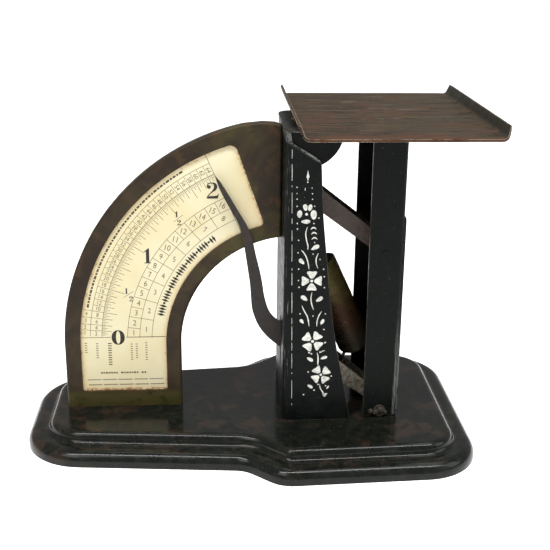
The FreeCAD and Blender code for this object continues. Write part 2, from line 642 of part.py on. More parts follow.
# clips that hold card and back plate in the frame: short blocks on the rim
yc0, yc1 = card_y0 + CARD_T + BACK_T, yb
clips = []
for deg in (112, 135, 158, 180):
    for r, sg in ((DIAL_RO - FRAME_T - 0.3, -1), (DIAL_RI + FRAME_T + 0.3, 1)):
        px, pz = polar(r, deg)
        blk = box(-1.0 - 1.0, 0.6 + 0.0, yc0, yc1, -3.0, 3.0) if sg < 0 else box(-0.6, 2.0, yc0, yc1, -3.0, 3.0)
        blk.rotate(V(0, 0, 0), V(0, 1, 0), -deg)
        blk.translate(V(px, 0, pz))
        blk = blk.common(pocket)
        clips.append(blk)
save("dial_clips", clips)

save("dial_foot_rivets", [
    cyl_z(x, y, 1.2, BASE_H - SHEET - 0.7, BASE_H + FRAME_T).fuse(
        cyl_z(x, y, 2.2, BASE_H + FRAME_T, BASE_H + FRAME_T + 0.9)).fuse(
        cyl_z(x, y, 2.0, BASE_H - SHEET - 0.7, BASE_H - SHEET)) for x, y in FOOT_RIVETS])
save("dial_end_rivets", [
    Part.makeCylinder(1.2, FRAME_T + SHEET, V(COL_X - FRAME_T, y, z), V(1, 0, 0)).fuse(
        Part.makeCylinder(2.1, 0.8, V(COL_X - FRAME_T - 0.8, y, z), V(1, 0, 0))).fuse(
        Part.makeCylinder(2.0, 0.7, V(COL_X + SHEET, y, z), V(1, 0, 0))) for y, z in FRAME_RIVETS])

print("pan x", px0, px1)
print("pivots C", (CX, CZ), "D", D, "U1", U1, "U2", U2, "anchor", ANCHOR, "link", LINK_L, math.degrees(LINK_A))
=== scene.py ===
import math
import random

import bmesh
import bpy
import numpy as np
from mathutils import Matrix, Vector


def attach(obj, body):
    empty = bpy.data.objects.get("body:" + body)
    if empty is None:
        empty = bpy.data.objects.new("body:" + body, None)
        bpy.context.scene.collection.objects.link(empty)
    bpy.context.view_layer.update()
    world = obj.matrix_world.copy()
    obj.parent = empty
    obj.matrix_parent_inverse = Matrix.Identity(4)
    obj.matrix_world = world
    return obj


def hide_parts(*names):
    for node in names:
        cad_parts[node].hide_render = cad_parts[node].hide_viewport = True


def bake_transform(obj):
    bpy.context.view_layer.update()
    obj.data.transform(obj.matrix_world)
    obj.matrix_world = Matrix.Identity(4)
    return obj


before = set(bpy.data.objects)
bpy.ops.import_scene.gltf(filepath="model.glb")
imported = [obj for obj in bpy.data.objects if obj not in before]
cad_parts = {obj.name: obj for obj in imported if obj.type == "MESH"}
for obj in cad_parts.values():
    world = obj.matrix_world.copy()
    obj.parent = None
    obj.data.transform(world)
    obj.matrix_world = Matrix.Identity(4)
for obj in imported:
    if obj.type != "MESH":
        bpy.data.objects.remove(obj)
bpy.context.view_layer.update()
scene = bpy.context.scene
MM = 0.001

# The scale's own frame: +X from the dial towards the pan, +Y to the back, +Z up.  Numbers below are millimetres.
DX, DZ = 21.15, 44.0              # centre of the dial's circles
CARD_Y = -4.8                     # front face of the printed card
CHEEK_Y = -24.9                   # front face of the column's front cheek


# ------------------------------------------------------------------ camera
def make_camera():
    data = bpy.data.cameras.new("camera")
    data.sensor_fit = "HORIZONTAL"
    data.sensor_width = 36.0
    data.lens = 65.45
    data.shift_x = -0.0176
    data.shift_y = -0.0155
    data.clip_start, data.clip_end = 0.02, 60.0
    yaw, pitch, roll = math.radians(4.4), math.radians(-18.9), math.radians(0.8)
    fwd = Vector((math.sin(yaw) * math.cos(pitch), math.cos(yaw) * math.cos(pitch), math.sin(pitch)))
    right = Vector((math.cos(yaw), -math.sin(yaw), 0))
    up = right.cross(fwd)
    r2 = right * math.cos(roll) + up * math.sin(roll)
    u2 = -right * math.sin(roll) + up * math.cos(roll)
    m = Matrix((r2, u2, -fwd)).transposed().to_4x4()
    m.translation = Vector((-17.65, -452.0, 236.4)) * MM
    cam = bpy.data.objects.new("camera", data)
    cam.matrix_world = m
    scene.collection.objects.link(cam)
    scene.camera = cam


make_camera()


# ------------------------------------------------------------- floor, light
def make_stage():
    bm = bmesh.new()
    n, rows = 96, [(0.0, 0.0), (0.6, 0.0), (2.0, 0.0), (9.0, 0.0)]
    mid = bm.verts.new((0, 0, 0))
    rings = []
    for r, z in rows[1:]:
        rings.append([bm.verts.new((r * math.cos(2 * math.pi * i / n), r * math.sin(2 * math.pi * i / n), z))
                      for i in range(n)])
    for i in range(n):
        bm.faces.new((mid, rings[0][i], rings[0][(i + 1) % n]))
    for a, b in zip(rings[:-1], rings[1:]):
        for i in range(n):
            bm.faces.new((a[i], b[i], b[(i + 1) % n], a[(i + 1) % n]))
    me = bpy.data.meshes.new("floor")
    bm.to_mesh(me)
    bm.free()
    ob = bpy.data.objects.new("floor", me)
    scene.collection.objects.link(ob)
    m = bpy.data.materials.new("floor")
    m.use_nodes = True
    b = m.node_tree.nodes["Principled BSDF"]
    b.inputs["Base Color"].default_value = (0.86, 0.86, 0.86, 1)
    b.inputs["Roughness"].default_value = 0.9
    b.inputs["Specular IOR Level"].default_value = 0.1
    b.inputs["Emission Color"].default_value = (1, 1, 1, 1)
    b.inputs["Emission Strength"].default_value = 0.62
    me.materials.append(m)

    w = bpy.data.worlds.new("world")
    scene.world = w
    w.use_nodes = True
    t = w.node_tree
    t.nodes["Background"].inputs["Color"].default_value = (1.0, 1.0, 1.0, 1)
    t.nodes["Background"].inputs["Strength"].default_value = 0.42

    def area(name, loc, target, size, size_y, watts, colour=(1, 1, 1)):
        d = bpy.data.lights.new(name, "AREA")
        d.shape = "RECTANGLE"
        d.size, d.size_y = size, size_y
        d.energy = watts
        d.color = colour
        o = bpy.data.objects.new(name, d)
        o.location = loc
        o.rotation_euler = (Vector(target) - Vector(loc)).to_track_quat("-Z", "Y").to_euler()
        scene.collection.objects.link(o)

    area("key", (-0.75, -0.85, 1.15), (0, 0, 0.06), 0.7, 0.7, 6.5)
    area("top", (0.25, 0.25, 1.45), (0, 0, 0.05), 1.1, 0.8, 7.0)
    area("side", (1.15, -0.35, 0.75), (0, 0, 0.08), 0.6, 0.8, 4.0)
    area("strip", (0.05, -0.42, 1.15), (0.05, 0, 0.02), 1.5, 0.10, 16.0)
    scene.view_settings.view_transform = "Standard"


make_stage()


# ---------------------------------------------------------------- materials
def rgb(r, g, b):
    def f(v):
        v /= 255.0
        return v / 12.92 if v <= 0.04045 else ((v + 0.055) / 1.055) ** 2.4
    return (f(r), f(g), f(b), 1.0)


class Mat:
    """A node material in millimetre coordinates, built by small calls."""

    def __init__(self, name, **const):
        self.m = bpy.data.materials.new(name)
        self.m.use_nodes = True
        self.t = self.m.node_tree
        self.t.nodes.clear()
        out = self.t.nodes.new("ShaderNodeOutputMaterial")
        self.b = self.t.nodes.new("ShaderNodeBsdfPrincipled")
        self.t.links.new(self.b.outputs[0], out.inputs[0])
        co = self.t.nodes.new("ShaderNodeTexCoord")
        sc = self.t.nodes.new("ShaderNodeVectorMath")
        sc.operation = "SCALE"
        sc.inputs["Scale"].default_value = 1000.0
        self.t.links.new(co.outputs["Object"], sc.inputs[0])
        self.p = sc.outputs[0]
        self.geo = self.t.nodes.new("ShaderNodeNewGeometry")
        for k, v in const.items():
            self.b.inputs[k.replace("_", " ")].default_value = v
        self._xyz = None
        self.last_bump = None

    def put(self, sock, v):
        if isinstance(v, bpy.types.NodeSocket):
            self.t.links.new(v, sock)
        else:
            sock.default_value = v

    def math(self, op, a, b=0.0, c=0.0, clamp=False):
        n = self.t.nodes.new("ShaderNodeMath")
        n.operation = op
        n.use_clamp = clamp
        for s, v in zip(n.inputs, (a, b, c)):
            self.put(s, v)
        return n.outputs[0]

    def add(self, a, b, clamp=False):
        return self.math("ADD", a, b, clamp=clamp)

    def mul(self, a, b, clamp=False):
        return self.math("MULTIPLY", a, b, clamp=clamp)

    def sub(self, a, b):
        return self.math("SUBTRACT", a, b)

    def xyz(self):
        if self._xyz is None:
            n = self.t.nodes.new("ShaderNodeSeparateXYZ")
            self.put(n.inputs[0], self.p)
            self._xyz = n.outputs
        return self._xyz

    def normal(self):
        n = self.t.nodes.new("ShaderNodeSeparateXYZ")
        self.put(n.inputs[0], self.geo.outputs["Normal"])
        return n.outputs

    def stretch(self, sx, sy, sz):
        n = self.t.nodes.new("ShaderNodeVectorMath")
        n.operation = "MULTIPLY"
        self.put(n.inputs[0], self.p)
        n.inputs[1].default_value = (sx, sy, sz)
        return n.outputs[0]

    def noise(self, scale, detail=3.0, rough=0.55, dist=0.0, vec=None, shift=None):
        n = self.t.nodes.new("ShaderNodeTexNoise")
        n.inputs["Scale"].default_value = scale
        n.inputs["Detail"].default_value = detail
        n.inputs["Roughness"].default_value = rough
        n.inputs["Distortion"].default_value = dist
        v = vec if vec is not None else self.p
        if shift is not None:
            a = self.t.nodes.new("ShaderNodeVectorMath")
            a.operation = "ADD"
            self.put(a.inputs[0], v)
            a.inputs[1].default_value = shift
            v = a.outputs[0]
        self.put(n.inputs["Vector"], v)
        return n.outputs["Fac"]

    def voronoi(self, scale, vec=None, feature="F1", rand=1.0):
        n = self.t.nodes.new("ShaderNodeTexVoronoi")
        n.feature = feature
        n.inputs["Scale"].default_value = scale
        n.inputs["Randomness"].default_value = rand
        self.put(n.inputs["Vector"], vec if vec is not None else self.p)
        return n.outputs["Distance"]

    def step(self, v, lo, hi, a=0.0, b=1.0, smooth=True):
        n = self.t.nodes.new("ShaderNodeMapRange")
        n.interpolation_type = "SMOOTHSTEP" if smooth else "LINEAR"
        n.clamp = True
        self.put(n.inputs["Value"], v)
        n.inputs["From Min"].default_value = lo
        n.inputs["From Max"].default_value = hi
        n.inputs["To Min"].default_value = a
        n.inputs["To Max"].default_value = b
        return n.outputs["Result"]

    def mix(self, f, a, b):
        n = self.t.nodes.new("ShaderNodeMix")
        n.data_type = "RGBA"
        n.blend_type = "MIX"
        n.clamp_factor = True
        self.put(n.inputs["Factor"], f)
        self.put([s for s in n.inputs if s.identifier == "A_Color"][0], a)
        self.put([s for s in n.inputs if s.identifier == "B_Color"][0], b)
        return [s for s in n.outputs if s.identifier == "Result_Color"][0]

    def mixf(self, f, a, b):
        n = self.t.nodes.new("ShaderNodeMix")
        n.data_type = "FLOAT"
        n.clamp_factor = True
        self.put(n.inputs["Factor"], f)
        self.put([s for s in n.inputs if s.identifier == "A_Float"][0], a)
        self.put([s for s in n.inputs if s.identifier == "B_Float"][0], b)
        return [s for s in n.outputs if s.identifier == "Result_Float"][0]

    def edge(self, radius=0.6, lo=0.02, hi=0.25):
        """1 near sharp outer edges, 0 on flats."""
        n = self.t.nodes.new("ShaderNodeBevel")
        n.samples = 6
        n.inputs["Radius"].default_value = radius * MM
        d = self.t.nodes.new("ShaderNodeVectorMath")
        d.operation = "DOT_PRODUCT"
        self.t.links.new(n.outputs[0], d.inputs[0])
        self.t.links.new(self.geo.outputs["Normal"], d.inputs[1])
        return self.step(self.math("SUBTRACT", 1.0, d.outputs["Value"]), lo, hi)

    def near(self, x, y, z, r0, r1):
        """1 inside r0 of a point, 0 beyond r1."""
        d = self.t.nodes.new("ShaderNodeVectorMath")
        d.operation = "DISTANCE"
        self.put(d.inputs[0], self.p)
        d.inputs[1].default_value = (x, y, z)
        return self.step(d.outputs["Value"], r0, r1, 1.0, 0.0)

    def bump(self, height, dist_mm, strength=1.0):
        n = self.t.nodes.new("ShaderNodeBump")
        n.inputs["Strength"].default_value = strength
        n.inputs["Distance"].default_value = dist_mm * MM
        self.put(n.inputs["Height"], height)
        if self.last_bump is not None:
            self.put(n.inputs["Normal"], self.last_bump)
        self.last_bump = n.outputs[0]
        self.t.links.new(n.outputs[0], self.b.inputs["Normal"])

    def done(self, colour, rough=None, metal=None):
        self.put(self.b.inputs["Base Color"], colour)
        if rough is not None:
            self.put(self.b.inputs["Roughness"], rough)
        if metal is not None:
            self.put(self.b.inputs["Metallic"], metal)
        return self.m


def japan(name, dark=(11, 13, 12), dark2=(22, 25, 22), brown=(62, 45, 38), worn=0.5, edge=1.0, edge_r=0.55,
          edge_col=(120, 112, 100), specks=0.5, spec=0.3, rough=0.30, patches=None, wear_and_highlight_marks=None, quiet=(), grain=0.55, span=0.20, seed=0.0):
    """Old stoving enamel: near black, dulled in patches, brown where it is thin, bright at rubbed edges; with a strong
    edge setting, as on the cap plate, the bright edges are partly a painted highlight.
    """
    g = Mat(name, Specular_IOR_Level=spec)
    big = g.noise(0.045, 4, 0.6, 0.4, shift=(seed, 3.1, 7.7))
    mid = g.noise(0.22, 5, 0.62, 0.3, shift=(seed, 0.0, 1.3))
    fine = g.noise(2.2, 4, 0.6)
    c = g.mix(g.step(mid, 0.35, 0.72), rgb(*dark), rgb(*dark2))
    thin = g.step(g.add(g.mul(big, 0.62), g.mul(mid, 0.38)), 0.62 - 0.16 * worn, 0.80 - 0.1 * worn)
    if patches is not None:
        thin = g.math("MAXIMUM", thin, patches(g, mid))
    c = g.mix(g.mul(thin, 0.72), c, rgb(*brown))
    sp = g.step(g.add(g.noise(1.25, 2, 0.5, shift=(seed, 9, 2)), g.mul(big, 0.12)), 0.775 - 0.03 * specks, 0.83)
    c = g.mix(g.mul(sp, 0.55 * specks), c, rgb(112, 104, 96))
    e = g.edge(edge_r)
    edge_wear_and_highlight = g.mul(e, g.step(g.add(g.noise(0.5, 4, 0.65, shift=(2, seed, 5)), g.mul(fine, 0.18)), 0.50 - 0.14 * edge, 0.72))
    edge_wear_and_highlight = g.mul(edge_wear_and_highlight, min(1.0, edge))
    for q in quiet:
        edge_wear_and_highlight = g.mul(edge_wear_and_highlight, g.sub(1.0, g.near(*q, 3.4, 4.0)))
    # bright edges: rubbed through to metal, and where edge is strong, as on the cap plate, partly a painted highlight
    c = g.mix(g.mul(edge_wear_and_highlight, 0.85), c, rgb(*edge_col))
    # light grey scuffs; on the column these marks also carry a painted highlight along the slanted top edge
    if wear_and_highlight_marks is not None:
        c = g.mix(g.mul(wear_and_highlight_marks(g), 0.75), c, rgb(142, 144, 140))
    scr = g.step(g.noise(1.0, 3, 0.6, 0.6, vec=g.stretch(0.06, 0.06, 1.7)), 0.70, 0.74)
    scr = g.mul(scr, g.step(mid, 0.45, 0.6))
    c = g.mix(g.mul(scr, 0.20), c, rgb(92, 88, 82))
    r = g.add(g.step(mid, 0.3, 0.75, rough - 0.05, rough + span), g.mul(fine, 0.3 * span))
    r = g.add(r, g.mul(thin, 0.5 * span), clamp=True)
    g.bump(g.add(g.mul(mid, 0.7), g.mul(fine, 0.3)), 0.10, grain)
    g.bump(g.sub(1.0, g.add(g.mul(sp, 0.5), g.mul(edge_wear_and_highlight, 0.8))), 0.05, 0.5)
    return g.done(c, r, g.mul(edge_wear_and_highlight, 0.5))


def base_patches(g, mid):
    x, y, z = g.xyz()
    left = g.step(x, -70.0, -104.0)
    rim = g.mul(g.step(z, 6.4, 7.2, 0.0, 1.0), g.step(z, 7.0, 9.5, 1.0, 0.0))
    n = g.noise(0.16, 5, 0.66, 0.6, shift=(11, 4, 2))
    a = g.mul(left, g.step(n, 0.44, 0.60))
    b = g.mul(rim, g.step(n, 0.50, 0.64))
    n2 = g.noise(0.09, 4, 0.6, 0.5, shift=(1, 8, 5))
    top = g.mul(g.step(z, 11.4, 11.9), g.step(n2, 0.50, 0.66))
    return g.math("MAXIMUM", g.math("MAXIMUM", a, b), g.mul(top, 0.8))


def column_scuffs_and_highlight(g):
    x, y, z = g.xyz()
    streak = g.noise(1.0, 4, 0.66, 0.4, vec=g.stretch(1.5, 1.5, 0.09), shift=(2, 0, 6))
    strip = g.mul(g.step(x, 17.9, 16.2), g.step(streak, 0.60, 0.68))
    strip = g.mul(strip, g.step(g.math("ABSOLUTE", y), 14.0, 21.0, 0.22, 1.0))
    # slanted top edge of the cheeks: light grey scuffs plus a painted highlight standing in for light caught by the
    # bevelled edge
    d = g.math("DIVIDE", g.add(g.mul(g.sub(z, 146.4), 11.4), g.mul(g.sub(x, 17.8), 7.0)), 13.38)
    n = g.noise(0.9, 4, 0.66, shift=(9, 1, 4))
    slant_scuff_and_highlight = g.mul(g.mul(g.step(d, -1.5, -0.1), g.step(n, 0.40, 0.58)), g.step(x, 17.0, 27.0, 0.45, 1.0))
    fleck = g.step(g.noise(1.7, 2, 0.5, shift=(4, 7, 1)), 0.745, 0.775)
    return g.math("MAXIMUM", g.math("MAXIMUM", g.mul(strip, 0.8), slant_scuff_and_highlight), g.mul(fleck, 0.6))


def stem_scuffs(g):
    x, y, z = g.xyz()
    fleck = g.step(g.noise(1.6, 2, 0.5, shift=(1, 3, 8)), 0.75, 0.78)
    streak = g.noise(1.0, 4, 0.66, 0.4, vec=g.stretch(1.7, 1.7, 0.10), shift=(7, 2, 1))
    right = g.mul(g.mul(g.step(x, 67.6, 69.2), g.step(z, 70.0, 30.0)), g.step(streak, 0.42, 0.56))
    right = g.mul(right, g.step(g.math("ABSOLUTE", y), 20.4, 21.8))
    return g.math("MAXIMUM", g.mul(fleck, 0.6), g.mul(right, 0.65))


def dial_metal():
    g = Mat("dial_lacquer", Specular_IOR_Level=0.16)
    x, y, z = g.xyz()
    big = g.noise(0.035, 3, 0.55, 0.5, shift=(3, 0, 9))
    mid = g.noise(0.16, 5, 0.62, 0.5)
    fine = g.noise(1.6, 4, 0.62)
    c = g.mix(g.step(big, 0.38, 0.64), rgb(38, 30, 22), rgb(54, 44, 29))
    olive = g.math("MAXIMUM", g.step(z, 21.5, 17.5), g.mul(g.step(big, 0.44, 0.64), g.step(x, -34.0, 4.0)))
    c = g.mix(g.mul(olive, 0.8), c, rgb(66, 63, 30))
    c = g.mix(g.mul(g.step(mid, 0.52, 0.70), 0.55), c, rgb(70, 50, 30))
    c = g.mix(g.mul(g.step(mid, 0.46, 0.30), 0.75), c, rgb(33, 27, 22))
    rust = g.step(g.add(g.mul(g.noise(0.45, 5, 0.7, 0.2, shift=(8, 8, 8)), 0.8), g.mul(big, 0.2)), 0.60, 0.68)
    c = g.mix(g.mul(rust, 0.38), c, rgb(102, 62, 34))
    pits = g.step(g.noise(1.1, 3, 0.6, shift=(5, 1, 0)), 0.34, 0.29)
    c = g.mix(g.mul(pits, 0.8), c, rgb(26, 20, 16))
    e = g.mul(g.edge(0.6), g.step(g.noise(0.35, 4, 0.6, shift=(0, 2, 7)), 0.44, 0.62))
    c = g.mix(g.mul(e, 0.6), c, rgb(120, 100, 66))
    r = g.add(g.step(mid, 0.3, 0.72, 0.26, 0.50), g.mul(fine, 0.10))
    g.bump(g.add(g.mul(mid, 0.5), g.mul(fine, 0.5)), 0.09, 0.6)
    g.bump(g.sub(1.0, g.add(pits, g.mul(rust, 0.4))), 0.06, 0.6)
    return g.done(c, g.add(r, g.mul(rust, 0.2), clamp=True), g.step(mid, 0.4, 0.6, 0.18, 0.05))


def paper():
    g = Mat("card_paper", Specular_IOR_Level=0.3)
    x, y, z = g.xyz()
    dx, dz = g.sub(x, DX), g.sub(z, DZ)
    r = g.math("SQRT", g.add(g.mul(dx, dx), g.mul(dz, dz)))
    wob = g.mul(g.sub(g.noise(0.28, 5, 0.65), 0.5), 5.0)
    rr = g.add(r, wob)
    leg = g.step(z, DZ - 0.5, DZ + 0.5, 1.0, 0.0)
    left = g.math("ABSOLUTE", dx)
    rad = g.mixf(leg, rr, g.add(left, wob))
    outer = g.step(rad, 98.1, 102.4)
    inner = g.step(rad, 64.2, 60.6)
    bottom = g.step(g.add(z, wob), 24.7, 19.8)
    # distance from the slanting end of the window
    k = (5.7 + 5.8) / (107.4 - 139.9)
    s = math.hypot(1.0, k)
    end = g.math("DIVIDE", g.sub(g.sub(-5.8, g.mul(139.9, k)), g.sub(x, g.mul(z, k))), s)
    endm = g.step(g.add(end, wob), 4.2, -0.2)
    rim = g.math("MAXIMUM", g.math("MAXIMUM", outer, inner), g.math("MAXIMUM", bottom, endm))
    tone = g.noise(0.03, 3, 0.5, 0.3)
    c = g.mix(g.step(tone, 0.35, 0.68), rgb(208, 201, 170), rgb(202, 191, 152))
    c = g.mix(g.mul(rim, 0.4), c, rgb(206, 170, 112))
    n = g.noise(0.55, 5, 0.7, 0.2, shift=(4, 4, 4))
    spot_outer = g.mul(g.step(rad, 99.9, 102.1), g.step(n, 0.50, 0.60))
    spot_end = g.mul(g.step(g.add(end, g.mul(wob, 0.4)), 1.6, 0.0), g.step(n, 0.44, 0.56))
    spot_bot = g.mul(g.step(g.add(z, g.mul(wob, 0.4)), 21.8, 20.2), g.step(n, 0.42, 0.54))
    spot_in = g.mul(g.step(rad, 62.2, 61.0), g.step(n, 0.54, 0.64))
    spots = g.math("MAXIMUM", g.math("MAXIMUM", spot_end, spot_bot), g.math("MAXIMUM", g.mul(spot_outer, 0.7), g.mul(spot_in, 0.7)))
    c = g.mix(g.mul(spots, 0.85), c, rgb(122, 62, 24))
    fox = g.mul(g.step(g.noise(0.8, 3, 0.6, shift=(7, 3, 1)), 0.70, 0.78), g.step(tone, 0.45, 0.6))
    c = g.mix(g.mul(fox, 0.35), c, rgb(190, 140, 80))
    stain = g.mul(g.near(3.0, CARD_Y, 110.0, 2.0, 11.0), 0.35)
    c = g.mix(stain, c, rgb(216, 190, 150))
    fib = g.noise(1.0, 4, 0.6, vec=g.stretch(3.0, 3.0, 0.9))
    g.bump(g.add(g.mul(fib, 0.6), g.mul(g.noise(0.12, 2), 0.4)), 0.05, 0.5)
    return g.done(c, g.step(fib, 0.3, 0.7, 0.48, 0.66))


def pan_rust():
    g = Mat("pan_rust", Specular_IOR_Level=0.05)
    x, y, z = g.xyz()
    st = g.noise(1.0, 5, 0.64, 0.5, vec=g.stretch(0.030, 0.11, 0.11))
    st2 = g.noise(1.0, 5, 0.62, 1.0, vec=g.stretch(0.045, 0.24, 0.24))
    big = g.noise(0.035, 3, 0.5, 0.3, shift=(6, 6, 0))
    fine = g.noise(1.7, 5, 0.66)
    c = g.mix(g.step(st, 0.38, 0.64), rgb(44, 33, 24), rgb(66, 54, 41))
    c = g.mix(g.mul(g.step(x, 40.0, 95.0), 0.6), c, rgb(58, 53, 42))
    c = g.mix(g.mul(g.step(big, 0.50, 0.66), 0.45), c, rgb(74, 47, 35))
    c = g.mix(g.mul(g.step(st2, 0.54, 0.59), 0.85), c, rgb(25, 21, 17))
    c = g.mix(g.mul(g.step(st2, 0.40, 0.33), 0.5), c, rgb(100, 92, 78))
    c = g.mix(g.mul(g.step(g.add(fine, g.mul(st2, 0.3)), 0.70, 0.80), 0.5), c, rgb(104, 93, 76))
    front = g.mul(g.step(g.add(y, g.mul(g.sub(big, 0.5), 30.0)), -44.0, -55.0), g.step(st, 0.36, 0.56))
    c = g.mix(g.mul(front, 0.5), c, rgb(82, 50, 34))
    lip = g.mul(g.step(x, 100.5, 104.0), g.step(z, 154.6, 155.8))
    c = g.mix(g.mul(lip, 0.7), c, rgb(44, 43, 37))
    pit = g.step(g.noise(0.95, 3, 0.6, shift=(2, 2, 2)), 0.33, 0.27)
    c = g.mix(g.mul(pit, 0.7), c, rgb(30, 23, 20))
    e = g.mul(g.edge(0.7), g.step(g.noise(0.4, 4, 0.6), 0.36, 0.58))
    c = g.mix(g.mul(e, 0.75), c, rgb(172, 160, 142))
    # painted shade: faces turned downwards are darkened to near black
    underside_shade = g.step(g.normal()[2], -0.1, -0.6)
    c = g.mix(g.mul(underside_shade, 0.85), c, g.mix(g.step(st, 0.4, 0.6), rgb(22, 22, 21), rgb(48, 38, 33)))
    r = g.add(g.step(st, 0.3, 0.7, 0.36, 0.58), g.mul(fine, 0.12))
    g.bump(g.add(g.mul(st2, 0.5), g.mul(fine, 0.5)), 0.12, 0.6)
    g.bump(g.sub(1.0, pit), 0.06, 0.6)
    return g.done(c, r, g.step(st, 0.4, 0.7, 0.05, 0.2))


def old_steel(name, a, b, rust=0.4, rough=0.42, metal=0.6, painted_glint=0.0, seed=0.0, edge_col=(120, 110, 98)):
    g = Mat(name, Specular_IOR_Level=0.4)
    mid = g.noise(0.5, 5, 0.65, 0.3, shift=(seed, 1, 2))
    fine = g.noise(3.2, 4, 0.62, shift=(seed, 0, 0))
    c = g.mix(g.step(mid, 0.35, 0.66), rgb(*a), rgb(*b))
    ru = g.step(g.add(g.mul(g.noise(0.28, 5, 0.7, 0.2, shift=(seed, 5, 5)), 0.8), g.mul(fine, 0.2)), 0.66 - 0.22 * rust, 0.74 - 0.16 * rust)
    c = g.mix(g.mul(ru, 0.7), c, rgb(96, 56, 36))
    e = g.mul(g.edge(0.35), g.step(mid, 0.40, 0.58))
    c = g.mix(g.mul(e, 0.6), c, rgb(*edge_col))
    # painted glints: bright flecks standing in for light sparkling off worn steel
    if painted_glint:
        s = g.step(g.noise(1.5, 3, 0.6, shift=(1, 9, seed)), 0.58, 0.66)
        c = g.mix(g.mul(s, painted_glint), c, rgb(196, 184, 160))
    r = g.add(g.step(mid, 0.3, 0.7, rough - 0.1, rough + 0.14), g.mul(ru, 0.18), clamp=True)
    g.bump(g.add(g.mul(mid, 0.45), g.mul(fine, 0.55)), 0.10, 0.6)
    return g.done(c, r, g.mul(g.sub(1.0, ru), metal))


def rust_lump():
    g = Mat("rusty_pin", Specular_IOR_Level=0.3)
    n = g.noise(1.1, 5, 0.7, 0.3)
    f = g.noise(4.5, 4, 0.65)
    c = g.mix(g.step(n, 0.35, 0.65), rgb(34, 30, 26), rgb(58, 52, 44))
    c = g.mix(g.mul(g.step(f, 0.56, 0.68), 0.4), c, rgb(112, 104, 94))
    g.bump(g.add(g.mul(n, 0.5), g.mul(f, 0.5)), 0.25, 0.8)
    return g.done(c, g.step(n, 0.3, 0.7, 0.55, 0.8), 0.1)


def spring_mat():
    g = Mat("spring_wire", Specular_IOR_Level=0.45)
    x, y, z = g.xyz()
    wob = g.mul(g.sub(g.noise(0.2, 4, 0.6), 0.5), 16.0)
    h = g.add(z, wob)
    c = g.mix(g.step(h, 60.0, 74.0), rgb(84, 60, 42), rgb(120, 108, 66))
    c = g.mix(g.step(h, 57.0, 46.0), c, rgb(54, 50, 38))
    c = g.mix(g.mul(g.step(g.noise(0.5, 5, 0.68), 0.52, 0.64), 0.5), c, rgb(84, 52, 34))
    f = g.noise(3.0, 4, 0.6)
    g.bump(f, 0.05, 0.5)
    return g.done(c, g.step(f, 0.3, 0.7, 0.34, 0.52), 0.55)


def silver_paint():
    g = Mat("stencil_silver", Specular_IOR_Level=0.4)
    n = g.noise(0.7, 5, 0.68, 0.2)
    f = g.noise(3.5, 4, 0.6)
    c = g.mix(g.step(n, 0.40, 0.70), rgb(214, 214, 206), rgb(168, 168, 160))
    c = g.mix(g.mul(g.step(f, 0.60, 0.70), 0.7), c, rgb(70, 72, 70))
    g.bump(f, 0.02, 0.4)
    return g.done(c, g.step(n, 0.3, 0.7, 0.42, 0.6), 0.15)


def ink(name="print_ink", base=(34, 32, 30), light=(74, 68, 58)):
    g = Mat(name, Specular_IOR_Level=0.25)
    n = g.noise(1.4, 4, 0.66)
    f = g.noise(6.0, 3, 0.6)
    c = g.mix(g.step(g.add(g.mul(n, 0.6), g.mul(f, 0.4)), 0.46, 0.66), rgb(*base), rgb(*light))
    g.bump(f, 0.01, 0.3)
    return g.done(c, g.step(n, 0.3, 0.7, 0.5, 0.7))


